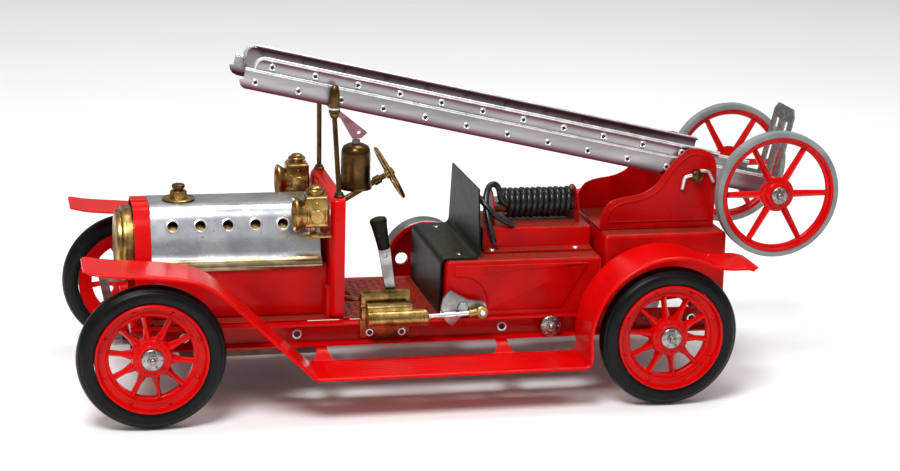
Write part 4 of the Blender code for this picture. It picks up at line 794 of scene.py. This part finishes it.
# %% A pressed pan, open on one side
def pan(low, high, opening, radius, gauge=0.8, taper=None):
    """A box with rounded edges and one open side."""
    part = block(low, high, 0)
    part.normal_update()
    way = Vector(opening)
    far = max(vert.co.dot(way) for vert in part.verts)
    soft = [e for e in part.edges if not all(abs(v.co.dot(way) - far) < 0.01 for v in e.verts)]
    soften(part, soft, radius, 4)
    part.normal_update()
    mouth = [face for face in part.faces
        if face.normal.dot(way) > 0.99 and abs(face.calc_center_median().dot(way) - far) < 0.01]
    bmesh.ops.delete(part, geom=mouth, context="FACES_ONLY")
    if taper:
        for vert in part.verts:
            taper(vert.co)
    return walled(part, gauge)


dash = begin(pan((97.8, -37.4, 43.4), (105, 37.4, 108.8), (1, 0, 0), 3.2))
show("dash_pan", dash, RED, "vehicle", ("bulkhead",))
walls = rounded([(4.6, -26.6, 72), (4.6, -27.4, 70), (4.6, -27.6, 43.4), (4.6, 27.6, 43.4), (4.6, 27.4, 70),
    (4.6, 26.6, 72)], 1.2, 3)
firebox = begin(folded(walls, (92.3, 0, 0), 0.8))
for side in SIDES.values():
    put(firebox, block((4.6, side * 32 - 4.6, 42.8), (105.2, side * 32 + 4.6, 43.3), 0.2, 1))
put(firebox, block((95.6, -36, 43), (97.9, 36, 60), 0.3))
show("firebox_walls", firebox, DUSTY_RED, "vehicle", ("firebox",))

# %% Cab floor with stamped bars
tread = plate([(FLOOR_X[0], -FLOOR_HALF), (FLOOR_X[1], -FLOOR_HALF), (FLOOR_X[1], FLOOR_HALF),
    (FLOOR_X[0], FLOOR_HALF)], 0.8)
tread.transform(at(0, 0, 43.3))
floor = begin(cut(tread, block((107, -8, 41), (116, 12, 46), 0)))
for row in range(16):
    for column in range(12):
        x, y = 107.4 + column * 4.1, -32.6 + row * 4.3
        if 106 < x < 117 and -9 < y < 13:
            continue
        turn = about("Z", 45 if (row + column) % 2 else -45)
        put(floor, block((-1.5, -0.35, 0), (1.5, 0.35, 0.35), 0.12, 1), at(x, y, 43.65) @ turn)
show("cab_floor", floor, DUSTY_RED, "vehicle", ("floor_plate",))

# %% [markdown]
# ## Seat, body, hose tray and rear box
# The seat is one folded black sheet whose back narrows upwards. Body and rear box are
# pans turned upside down, with panels pressed into their sides. The hose tray is a
# hat-shaped fold with two round-topped ends.

# %% The seat
seat = folded(rounded([(157, -37.9, 43.2), (157, -37.9, 74.5), (178.3, -37.9, 74.5), (178.3, -37.9, 111)],
    4.2, 6), (0, 75.8, 0), 0.9)
for vert in seat.verts:
    if vert.co.z > 76:
        share = (vert.co.z - 76) / 35
        vert.co.y *= 1 - share * 0.154
seat_bolts = bmesh.new()
for x, y in ((169, -29.5), (169, 29.5)):
    put(seat_bolts, dome(2.1, 0.7), at(x, y, 74.9))
show("seat_sheet", seat, BLACK, "vehicle", ("seat",))
show("seat_rivets", seat_bolts, CAP_PLATE)

# %% The body box with its pressed panel
slots = begin(block((164.5, -43, 40), (170.5, 43, 53), 0))
put(slots, block((244, -13.5, 40), (248, -6.5, 55), 0))
body = begin(cut(pan((160, -39.8, 42.9), (246, 39.8, 73.2), (0, 0, -1), 1.8), slots))
PANEL = [(224, 45.8), (239, 71), (164, 71), (164, 64.6)]
PANEL += [circle(15, a, (CRANK_X, CRANK_Z)) for a in range(90, -1, -15)]
PANEL += [(182.5, 45.8)]
for side in SIDES.values():
    stand = at(0, side * 40.1, 0) @ about("X", 90)
    panel = rounded(PANEL, 1.2, 3, closed=True)
    put(body, plate(panel, 1.5, 0.7, 3), stand)
show("body_pan", body, DUSTY_RED, "vehicle", ("body_box",))

# %% The hose tray
TRAY_FRONT, TRAY_REAR = 184, 244.5
tray = begin(folded(rounded([(TRAY_FRONT, -27, 74.4), (TRAY_FRONT, -20, 74.4), (TRAY_FRONT, -20, 85.6),
    (TRAY_FRONT, 20, 85.6), (TRAY_FRONT, 20, 74.4), (TRAY_FRONT, 27, 74.4)], 1.2, 4), (TRAY_REAR - TRAY_FRONT,
    0, 0), 0.8))
HOSE_AXIS = 95.2
for x in (192, 239.9):
    arch = [(-12.5, 85), (12.5, 85)]
    arch += [circle(12.5, a, (0, HOSE_AXIS - 3)) for a in range(0, 181, 12)]
    put(tray, plate(arch, 0.9, 0.25, 1), at(x, 0, 0) @ about("Z", 90) @ about("X", 90))
show("hose_tray_folded", tray, DUSTY_RED, "vehicle", ("hose_tray",))
tray_rivets = bmesh.new()
for x in (188.5, 235.5):
    for y in (-23.5, 23.5):
        put(tray_rivets, dome(1.7, 0.9), at(x, y, 74.8))
show("tray_rivets", tray_rivets, SILVER)


# %% The rear box, leaning in at the top and cut up at the tail
def lean(point):
    share = (point.z - 42.9) / 41
    point.y *= 1.034 - 0.034 * share
    if point.z < 43.5:
        point.z += 7 * (point.x - 249) / 70


rear = cut(pan((249.2, -34.3, 42.9), (318.8, 34.3, 83.7), (0, 0, -1), 2.2, taper=lean),
    block((247, -13.5, 40), (251.5, -6.5, 55), 0))
show("rear_pan", rear, DUSTY_RED, "vehicle", ("rear_box",))

# %% [markdown]
# ## The saddle
# Two cheeks stand on the rear box and hold the ladder's pivot. Each is a plate cut to a
# flowing outline with a groove pressed in along its edge, a slotted brass screw at the
# pivot, and a bent wire clip.

# %% Cheeks, floor and pressed panels
CHEEK = [(248.8, 85.2), (249.2, 92), (253.1, 99.2), (259.9, 102), (271.2, 104), (279.6, 108.8), (284.9, 116),
    (290.3, 122.7), (295.8, 127.6), (300.3, 128.9), (307.3, 127.9), (312.8, 123.8), (314.6, 117.6),
    (314.8, 107.9), (314.6, 85.2)]
INSET = [(253, 88.6), (253.4, 92), (256, 96.4), (260.6, 98.8), (272, 101), (281.8, 106), (287.6, 114),
    (292.6, 120.4), (297.4, 124.6), (301, 125.7), (306.6, 124.8), (310.4, 121.8), (311.6, 116.8),
    (311.8, 107.9), (311.4, 88.6)]


def smooth_outline(points, parts=3):
    top = curve_through(points[1:-1], parts)
    return [Vector(points[0])] + top + [Vector(points[-1])]


saddle = bmesh.new()
for side in SIDES.values():
    stand = at(0, side * 23.5, 0) @ about("X", 90)
    put(saddle, plate(smooth_outline(CHEEK), 0.9, 0.25, 1), stand)
    bead = [(p.x, side * 24, p.y) for p in smooth_outline(INSET)]
    put(saddle, tube(bead + bead[:2], 0.5, 10))
put(saddle, block((248.8, -23.9, 84.3), (314.6, 23.9, 85.2), 0.3))
show("saddle_cheeks", saddle, DUSTY_RED, "vehicle", ("ladder_saddle",))

# %% Pivot screws and wire clips
studs, clips = bmesh.new(), bmesh.new()
for side in SIDES.values():
    face = facing(side, 303, 24.4, 113.7)
    screw = turned([(0, 2.5), (2.4, 2.3), (3.2, 1.7), (3.4, 0.9), (3.4, 0), (0, 0)], 32)
    put(studs, cut(screw, block((-0.6, -5, 1.6), (0.6, 5, 4), 0)), face)
    put(studs, bar((303, side * 20.4, 113.7), (303, side * 25, 113.7), 1.8, 16, 0.1))
    y = side * 25.2
    put(clips, tube(rounded([(301, y, 114.2), (295.8, y, 113.6), (294.8, y, 106.6)], 3, 6), 1, 12))
    put(clips, tube(rounded([(304.6, y, 116.6), (309.4, y, 116.4), (312.6, y, 110.2)], 3, 6), 1, 12))
show("ladder_pivot_screws", studs, DARK_BRASS)
show("ladder_wire_clips", clips, SILVER)

# %% [markdown]
# ## The hose
# A length of black rubber hose is wound on a bar between the tray's ends. It is one curve:
# twelve turns side by side, then a loose end that rises over the front plate, drops
# behind the seat back and comes down to the tray. A second short strand is its other end.

# %% Wind the hose as one open spline
HOSE_R, TURN_R, TURNS = 1.7, 6.9, 12
HOSE_START = 239.25 - 2 * HOSE_R * TURNS - 0.3
route = []
for step in range(TURNS * 16 - 7):
    turn = (TURNS * 16 - 8 - step) / 16
    angle = 2 * pi * turn
    x = HOSE_START + HOSE_R + 0.1 + turn * 2 * HOSE_R * (TURNS - 1) / (TURNS - 0.5)
    lie = TURN_R + 0.22 * sin(2.3 * turn) * cos(angle - 1.1)
    route.append((x, -lie * cos(angle), HOSE_AXIS + lie * sin(angle)))
loose = [(196.6, -7.4, HOSE_AXIS + 4.2), (195.6, -7, HOSE_AXIS + 9.2), (193.2, -7, HOSE_AXIS + 12.2),
    (189.8, -8.4, HOSE_AXIS + 11.6), (187.2, -12, HOSE_AXIS + 7.2), (186.6, -16, HOSE_AXIS + 1.2),
    (187, -20, HOSE_AXIS - 4.8), (188, -23.2, HOSE_AXIS - 11), (189.4, -24.2, HOSE_AXIS - 16.3)]
tail = curve_through([route[-1]] + loose, 4)[1:]
route += [tuple(point) for point in tail]


def hose_piece(name, route):
    """A curve of one open spline along a route."""
    curve = bpy.data.curves.new(name, "CURVE")
    curve.dimensions, curve.use_fill_caps = "3D", True
    curve.bevel_depth, curve.bevel_resolution = HOSE_R * MM, 4
    spline = curve.splines.new("POLY")
    spline.points.add(len(route) - 1)
    for knot, point in zip(spline.points, route):
        knot.co = (*(VEHICLE @ Vector(point)), 1)
    spline.use_smooth = True
    curve.materials.append(HOSE_RUBBER)
    hose = link(bpy.data.objects.new(name, curve))
    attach(hose, "vehicle")
    return hose


hose = hose_piece("fire_hose", route)
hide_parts("hose_coil", "hose_tail")

# %% The other end of the hose, coming from behind the seat
end_route = curve_through([(186, -6, HOSE_AXIS + 3), (184.6, -9.5, HOSE_AXIS + 5.2),
    (185, -14, HOSE_AXIS + 4.2), (188, -17.6, HOSE_AXIS + 0.6), (192.4, -19.2, HOSE_AXIS - 3.2),
    (197, -19.6, HOSE_AXIS - 6), (201.2, -19.6, HOSE_AXIS - 7.6)], 4)
hose_piece("fire_hose_end", end_route)
tips = bmesh.new()
for tip, before in ((route[-1], route[-2]), (end_route[-1], end_route[-2])):
    tip, before = Vector(tip), Vector(before)
    put(tips, turned([(0, 0.5), (0.9, 0.4), (1.1, 0), (1.1, -1), (0, -1)], 16), aim(tip, tip - before))
show("hose_tips", tips, BRASS)

# %% [markdown]
# ## Gantry, knobs and bell
# Two dark brass posts lean from the bulkhead to a crossbar that holds up the ladder's
# head. A bullet-shaped knob at each end guides the ladder. The bell hangs behind from a
# small bright plate.

# %% Posts, crossbar and knobs
KNOB_Y, BAR_Z = 24.6, 153.4
gantry = begin(bar((100.5, -KNOB_Y, BAR_Z), (100.5, KNOB_Y, BAR_Z), 1.3, 20))
KNOB = [(0, 14), (1.2, 13.8), (2.1, 12.8), (2.6, 10.8), (2.8, 7.6), (2.8, 2.2), (2.4, 1.8), (2.4, 1.2),
    (3, 0.9), (3.1, -0.6), (2.6, -1), (2.6, -2), (2, -3.4), (1.3, -3.9), (0, -3.9)]
for side in SIDES.values():
    put(gantry, bar((102.2, side * 32.9, 109.9), (100.5, side * KNOB_Y, BAR_Z - 2), 1.35, 20))
    put(gantry, turned(KNOB, 28), at(100.5, side * KNOB_Y, BAR_Z))
    put(gantry, turned([(0, 2.6), (1.5, 2.6), (2.2, 2.2), (2.4, 1.2), (2.9, 0.9), (3, 0), (0, 0)], 24),
        at(102.2, side * 32.9, 109.2))
show("gantry_posts", gantry, DARK_BRASS, "vehicle", ("ladder_gantry",))
rings = bmesh.new()
for side in SIDES.values():
    put(rings, turned([(2.5, 2.15), (3, 2), (3, 1.2), (2.5, 1.1)], 28, closed=True), at(100.5, side * KNOB_Y,
        BAR_Z - 0.2))
show("knob_rings", rings, SILVER)

# %% Bell, bracket and clapper
bracket = plate([(101.8, 153.2), (101.8, 150.4), (108.6, 143.6), (114.6, 133.2), (119.6, 133.2),
    (122.9, 136.4)], 1.1, 0.2, 1)
bracket = cut(bracket, bar((118.2, 136.4, -2), (118.2, 136.4, 2), 1, 16, 0.05))
show("bell_plate", begin(bracket, about("X", 90)), REDDISH_ALUMINIUM, "vehicle", ("bell_bracket",))
BELL = [(0, -1.4), (2.6, -1.6), (4.6, -2.2), (6.8, -3.4), (7.7, -5.2), (8, -7.4), (8, -17), (8.1, -21),
    (8.4, -23.4), (8.8, -25), (9, -26), (8.8, -26.8), (8, -26.6), (7.3, -24.6), (6.9, -20), (6.8, -8),
    (5.8, -4.8), (3.4, -3.2), (0, -3)]
show("bell_stub", turned([(0, 0.4), (1.9, 0.3), (2.3, -0.4), (2.3, -2), (0, -2)], 24), STEEL, "bell", (),
    at(BELL_X, 0, BELL_Z))
show("bell_cast", turned(BELL, 56), DARK_BRASS, "bell", ("bell",), at(BELL_X, 0, BELL_Z))
clapper = begin(bar((BELL_X, 0, 128.6), (BELL_X, 0, 108.6), 0.6, 12))
put(clapper, turned([(0, 1.9), (1.3, 1.4), (1.9, 0), (1.3, -1.4), (0, -1.9)], 20), at(BELL_X, 0, 109.2))
show("clapper_ball", clapper, STEEL, "clapper", ("bell_clapper",))

# %% [markdown]
# ## Lamps
# Each brass lamp has a flared bezel, a barrel, a square lantern house with a tiered cap,
# and a small foot that bolts to the bulkhead. A pane of glass sits in the bezel.

# %% Turned barrel, house and cap
LAMP = [(0, -2.2), (6.4, -2.2), (6.8, -1), (7.8, 0.4), (8.8, 0.9), (9.3, 0.5), (9.3, -0.4), (8.8, -1.1),
    (7.8, -2.6), (7.3, -3.4), (7.2, -5), (7.6, -5.4), (7.6, -6.2), (7.2, -6.6), (7.2, -14.4), (7.6, -14.8),
    (7.6, -15.6), (7, -16.2), (5.4, -17.2), (0, -17.6)]
CAP = [(0, 15.6), (1.6, 15.5), (2.8, 15.1), (3.3, 14.5), (3.3, 14), (4.4, 13.8), (4.9, 13.2), (4.9, 12.5),
    (4.3, 12.1), (4.3, 11.2), (5, 10.9), (5, 10.2), (0, 10)]
for word, side in SIDES.items():
    y = side * LAMP_Y
    set_back = at(1.6 if side == RIGHT else 0, 0, 0)
    lamp = begin(turned(LAMP, 48), at(LAMP_X, y, LAMP_Z) @ about("Y", -90))
    put(lamp, turned(CAP, 36), at(88.8, y, LAMP_Z))
    put(lamp, block((82.6, y - 6.2, 95.6), (95, y + 6.2, 111.9), 1.2, 3))
    put(lamp, block((83.4, y - 5.4, 111.2), (94.2, y + 5.4, 112.6), 0.5, 2))
    for out in (-1, 1):
        put(lamp, dome(1.1, 0.8), aim((88.8, y + out * 6.1, 108.2), (0, out, 0)))
        put(lamp, turned([(0, 0.7), (2.2, 0.5), (3.4, 0.5), (3.8, 0), (3.8, -1.4), (0, -1.4)], 28),
            aim((88.8, y + out * 7.4, LAMP_Z), (0, out, 0)))
    put(lamp, bar((87.4, y, 96), (87.4, y, 90.6), 1.6, 16))
    put(lamp, block((83.4, y - 3.6, 89.2), (97, y + 3.6, 90.8), 0.5))
    put(lamp, block((85.4, y - 7.2, 90.6), (89.4, y + 7.2, 92.4), 0.5))
    put(lamp, dome(1.2, 0.8), at(92.4, y, 90.8))
    show(word + "_lamp_brass", lamp, BRASS, "vehicle", (word + "_lamp",), set_back)
    lens = turned([(0, -1), (3.4, -1.3), (6.2, -2.1), (0, -2.1)], 32)
    show(word + "_lamp_lens", lens, SILVER, "vehicle", (), set_back @ at(LAMP_X, y, LAMP_Z) @ about("Y", -90))

# %% [markdown]
# ## Safety valve and steering
# The valve is a knurled brass turning on the bonnet. The steering wheel is a ring with
# three flat spokes on a raked column.

# %% Safety valve and its lifting stem
valve = begin(turned([(0, 0.9), (4, 0.9), (5.6, 0.8), (8.2, 0.8), (8.8, 0.4), (8.8, 0), (0, 0)], 48))
put(valve, turned([(0, 4.9), (3.2, 4.9), (4, 4.6), (4.3, 4), (4.3, 1.6), (4.9, 1.3), (5, 0.8), (0, 0.7)], 40))
for number in range(24):
    put(valve, bar((4.25, 0, 1.7), (4.25, 0, 4.2), 0.3, 6, 0.1), about("Z", 15 * number))
show("valve_body", valve, BRASS, "vehicle", ("safety_valve",), at(21, 0, 102.3))
stem = turned([(0, 8.2), (2.8, 8.1), (3.4, 7.7), (3.6, 6.9), (3.4, 6), (2.9, 5.7), (2.4, 5.5), (2.4, 5),
    (0, 5)], 28)
show("valve_knob", stem, DARK_BRASS, "valve", ("valve_stem",), at(21, 0, 102.3))

# %% Steering wheel
RAKE = radians(60)
helm = at(139.5, 20, 109) @ Matrix.Rotation(RAKE, 4, "Y")
wheel = begin(turned([circle(1.15, a, (15.2, 0)) for a in range(0, 360, 36)], 64, closed=True))
put(wheel, turned([(0, 2.8), (1.9, 2.6), (2.7, 1.8), (2.7, -2.2), (2.2, -2.6), (0, -2.6)], 28))
for number in range(3):
    put(wheel, block((2, -0.9, -0.45), (15.2, 0.9, 0.45), 0.3), about("Z", 120 * number))
show("steering_wheel_ring", wheel, BRASS, "steering_wheel", ("steering_wheel",), helm)
along = Vector((cos(radians(30)), 0, sin(radians(30))))
hub = Vector((135, 20, 106.4))
column = begin(bar(hub - along * 42, hub + along * 2.4, 1.6, 20))
put(column, bar(hub - along * 5, hub - along * 0.6, 2.5, 20))
show("steering_rod", column, DARK_BRASS, "vehicle", ("steering_column",))

# %% [markdown]
# ## Steam engine
# A brass port block is screwed to the left rail. The swinging cylinder lies on it and
# drives a crank with a fan-shaped counterweight. A steel lever with a black grip turns
# the valve, and a spoked flywheel runs on the far side.

# %% Port block, steam chest and cylinder
block_piece = begin(block((113.5, -38.2, 32.5), (140.5, -36.8, 58.6), 0.3))
put(block_piece, block((113.2, -44, 43.4), (139.2, -37.4, 50.6), 0.6))
put(block_piece, block((113.2, -43, 52), (138.8, -37.4, 57.4), 0.5, 2))
put(block_piece, block((113.2, -42, 50), (139.2, -37.4, 52.4), 0.3))
put(block_piece, bar((131.5, -37.6, 53.6), (131.5, -32.6, 53.6), 1, 16))
show("port_block", block_piece, BRASS, "vehicle", ("engine_block",))
port_cups, port_holes = bmesh.new(), bmesh.new()
for x, z in ((118.7, 35.6), (136.2, 35.4)):
    face = at(x, -38.2, z) @ about("X", 90)
    put(port_cups, turned([(1.2, 0.3), (1.4, 1), (2, 1), (2.4, 0.4), (2.5, 0), (1.2, 0)], 20, closed=True),
        face)
    put(port_holes, turned([(0, 0.5), (1.25, 0.4), (1.25, 0), (0, 0)], 14), face)
show("port_block_screws", port_cups, SILVER)
show("port_block_screw_slots", port_holes, DARK_STEEL)
CYLINDER = [(0, 0), (3.9, 0), (4.6, 0.6), (4.6, 30.2), (4.9, 30.4), (4.9, 32.4), (4.5, 33), (1.6, 33),
    (1.6, 29), (0, 29)]
cylinder = begin(turned(CYLINDER, 40), at(115, ENGINE_Y, 46) @ about("Y", 90))
put(cylinder, block((115, -50.6, 49.2), (140, -45.4, 53.2), 1, 3))
put(cylinder, block((115, -50.2, 52.2), (139.6, -45.6, 54.2), 0.5))
show("steam_cylinder", cylinder, BRASS, "cylinder", ("cylinder",))

# %% Piston rod, big end and crank
PIN = circle(10.2, -12, (CRANK_X, CRANK_Z))
rod = begin(bar((139.6, ENGINE_Y, 46.2), (146.4, ENGINE_Y, 46.2), 1.2, 20))
put(rod, bar((143, ENGINE_Y, 46.2), (157, ENGINE_Y, 46.6), 1.3, 20))
put(rod, bar((156.6, ENGINE_Y, 46.6), (163.4, ENGINE_Y, 46.8), 1.8, 20, end_radius=1.8))
put(rod, bar((162.8, ENGINE_Y, 46.8), (PIN[0] - 2, ENGINE_Y, PIN[1] - 0.4), 1.4, 20))
put(rod, bar((PIN[0], -52.4, PIN[1]), (PIN[0], -49.8, PIN[1]), 1.5, 20))
show("piston_rod_steel", rod, SILVER, "piston", ("piston_rod",))
end = begin(bar((PIN[0], -51.2, PIN[1]), (PIN[0], -47.8, PIN[1]), 3.4, 28, 0.4))
put(end, bar((PIN[0] - 7, ENGINE_Y, PIN[1] - 0.9), (PIN[0] - 2, ENGINE_Y, PIN[1] - 0.2), 2.3, 24))
show("big_end", end, BRASS, "piston")
fan = [(3.4, 4), (1, 5.2), (-2.4, 6.8)]
fan += [circle(11.7, a) for a in range(124, 245, 8)]
fan += [(-1.4, -6.2), (1, -4.6), (3.4, -3.8), (10.2, -3.2), (12.2, -2.6), (13.3, 0), (12.2, 2.6), (10.2, 3.2)]
crank = begin(plate(fan, 1.8, 0.35, 2), at(CRANK_X, -45.9, CRANK_Z) @ about("X", 90))
put(crank, bar((CRANK_X, -48, CRANK_Z), (CRANK_X, 61.5, CRANK_Z), 1.8, 24))
put(crank, bar((CRANK_X, -48.2, CRANK_Z), (CRANK_X, -46.6, CRANK_Z), 3.2, 6, 0.3))
put(crank, turned([(0, 12.2), (6, 12.2), (6, 11.4), (3.8, 11.2), (3.8, 8.8), (6, 8.6), (6, 7.8), (0, 7.8)],
    32), at(CRANK_X, 0, CRANK_Z) @ about("X", -90))
show("crank_and_web", crank, STEEL, "crankshaft", ("crankshaft",))

# %% Flywheel, layshaft caps and lever
place = at(CRANK_X, 47.5, CRANK_Z) @ about("X", -90)
FLYWHEEL = [(23, 13), (23, 0.5), (22.6, 0), (20.8, 0), (20.4, 0.5), (20.4, 5.8), (6.4, 5.8), (6, 2), (2.1, 2),
    (2.1, 12.5), (6, 12.5), (6.4, 8.6), (20.4, 8.6), (20.4, 13), (20.8, 13.5), (22.6, 13.5)]
drill = bmesh.new()
for number in range(5):
    x, y = circle(13.2, 72 * number + 36)
    put(drill, bar((x, y, -1), (x, y, 15), 3.6, 28, 0.05))
flywheel = cut(turned(FLYWHEEL, 72, closed=True), drill)
show("flywheel_turned", flywheel, RED, "crankshaft", ("flywheel",), place)
tread = turned([(23.05, 12.6), (23.35, 12.3), (23.35, 1.2), (23.05, 0.9)], 72, closed=True)
show("flywheel_tread", tread, STEEL, "crankshaft", (), place)
caps = bmesh.new()
for side in SIDES.values():
    face = facing(side, LAY_X, 43.9, LAY_Z)
    put(caps, turned([(0, 1.7), (4.9, 1.7), (5.5, 1.4), (5.8, 0.8), (5.8, 0), (0, 0)], 32), face)
    put(caps, bar((0, 0, 1.6), (0, 0, 2.9), 2.6, 6, 0.3), face)
    put(caps, turned([(0, 4.4), (1, 4.2), (1.6, 3.6), (1.8, 2.8), (0, 2.8)], 16), face)
    ring_of(caps, 6, (0.65, 0.5), 4.3, 1.7, 0, face)
put(caps, bar((LAY_X, -44, LAY_Z), (LAY_X, 44, LAY_Z), 1.8, 20))
for y, radius in ((10, 12), (-10, 5)):
    put(caps, turned([(0, 2), (radius + 1, 2), (radius + 1, 1.2), (radius - 1.2, 1.1), (radius - 1.2, -1.1),
        (radius + 1, -1.2), (radius + 1, -2), (0, -2)], 40), at(LAY_X, y, LAY_Z) @ about("X", -90))
show("layshaft_caps", caps, CAP_PLATE, "layshaft", ("layshaft",))
lever = plate(rounded([(2.7, -2.6), (0, -3.8), (-2.7, -2.6), (-8.4, 28.2), (-1.6, 28.2)], 1.6, 3,
    closed=True), 1.2, 0.25, 1)
lever = cut(lever, bar((-4.3, 23.2, -2), (-4.3, 23.2, 2), 1.3, 16, 0.05))
lever = begin(lever, at(131.5, -34.2, 53.6) @ about("X", 90))
show("lever_plate", lever, STEEL, "reversing_lever", ("reversing_lever",))
grip = turned([(0, 0), (2.9, 0), (3.3, 0.6), (3.5, 5), (4.3, 13.5), (4.7, 15.8), (4.3, 16.9), (3, 17.4),
    (0, 17.6)], 32)
show("lever_grip", grip, BLACK, "reversing_lever", (), aim((126.6, -34.2, 80.4), (-3.7, 0, 16.5)))

# %% [markdown]
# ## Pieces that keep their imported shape
# Plain shafts, arms and trays are already right, so they only get a finish. Their meshes
# aren't touched.

# %% Give the carried-over pieces their finish
CARRIED = {"front_axle": RED, "left_knuckle": STEEL, "right_knuckle": STEEL, "track_rod": STEEL,
    "rear_axle": STEEL, "front_belt": STEEL, "rear_belt": STEEL, "burner_tray": NICKEL,
    "ash_shield": DARK_STEEL, "hose_bar": CAP_PLATE, "steam_pipe": BRASS}
for node, material in CARRIED.items():
    dress(node, material)
    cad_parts[node].data.shade_smooth()
    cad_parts[node].data.set_sharp_from_angle(angle=radians(35))
shown = [o.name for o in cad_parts.values() if not o.hide_render]
print("packed pieces still shown:", sorted(shown))

# %% [markdown]
# ## Floor, light and camera
# The vehicle stands on a pale floor under a sky that brightens upwards, with a soft key
# light from the front left and a second from above. The camera looks slightly down at
# its left side.

# %% A pale floor and a soft sky
pale = finish("pale_floor", None, ((0.86, 0.86, 0.86), (0.88, 0.88, 0.88)), 4, (0.7, 0.8), bump=0)
ground = bmesh.new()
bmesh.ops.create_grid(ground, x_segments=2, y_segments=2, size=6)
mesh = bpy.data.meshes.new("pale_floor")
ground.to_mesh(mesh)
ground.free()
mesh.materials.append(pale)
floor_sheet = link(bpy.data.objects.new("pale_floor", mesh))
floor_sheet.location.z = -0.0004
world = bpy.data.worlds.new("sky")
bpy.context.scene.world = world
world.use_nodes = True
sky, background = world.node_tree, world.node_tree.nodes["Background"]
height = sky.nodes.new("ShaderNodeSeparateXYZ")
sky.links.new(sky.nodes.new("ShaderNodeTexCoord").outputs["Generated"], height.inputs[0])
bands = sky.nodes.new("ShaderNodeValToRGB")
while len(bands.color_ramp.elements) < 4:
    bands.color_ramp.elements.new(0.5)
for element, (where, light) in zip(bands.color_ramp.elements, ((0, 0.10), (0.12, 0.30), (0.45, 0.85),
        (0.9, 1))):
    element.position, element.color = where, (light, light, light, 1)
sky.links.new(height.outputs["Z"], bands.inputs["Fac"])
sky.links.new(bands.outputs["Color"], background.inputs["Color"])
fill(background, Strength=0.62)


# %% Two soft lights
def soft_light(name, place, target, size, power):
    lamp = bpy.data.lights.new(name, "AREA")
    lamp.shape, lamp.size, lamp.energy = "DISK", size, power
    holder = link(bpy.data.objects.new(name, lamp))
    holder.location = place
    holder.rotation_euler = (Vector(target) - Vector(place)).to_track_quat("-Z", "Y").to_euler()


soft_light("key", (-0.45, -0.75, 1.35), (0, 0, 0.08), 0.6, 22)
soft_light("top", (0.35, 0.25, 1.6), (0, 0, 0.08), 0.8, 12)

# %% The camera
SENSOR, LENS = 36, 84.7288
EYE = Vector((-84.98, -1101.90, 374.70))
YAW, PITCH_DOWN, ROLL = (radians(a) for a in (-13.066, 15.002, 1.64))
back = Vector((sin(YAW) * cos(PITCH_DOWN), -cos(YAW) * cos(PITCH_DOWN), sin(PITCH_DOWN)))
across = Vector((cos(YAW), sin(YAW), 0))
upright = back.cross(across)
right = across * cos(ROLL) + upright * sin(ROLL)
up = upright * cos(ROLL) - across * sin(ROLL)
camera_data = bpy.data.cameras.new("camera")
camera_data.sensor_width, camera_data.lens = SENSOR, LENS
camera_data.shift_x, camera_data.shift_y = -0.0005, 0.01116
camera = link(bpy.data.objects.new("camera", camera_data))
camera.matrix_world = Matrix.Translation(VEHICLE @ EYE) @ Matrix((right, up, back)).transposed().to_4x4()
bpy.context.scene.camera = camera
bpy.context.scene.view_settings.view_transform = "Standard"
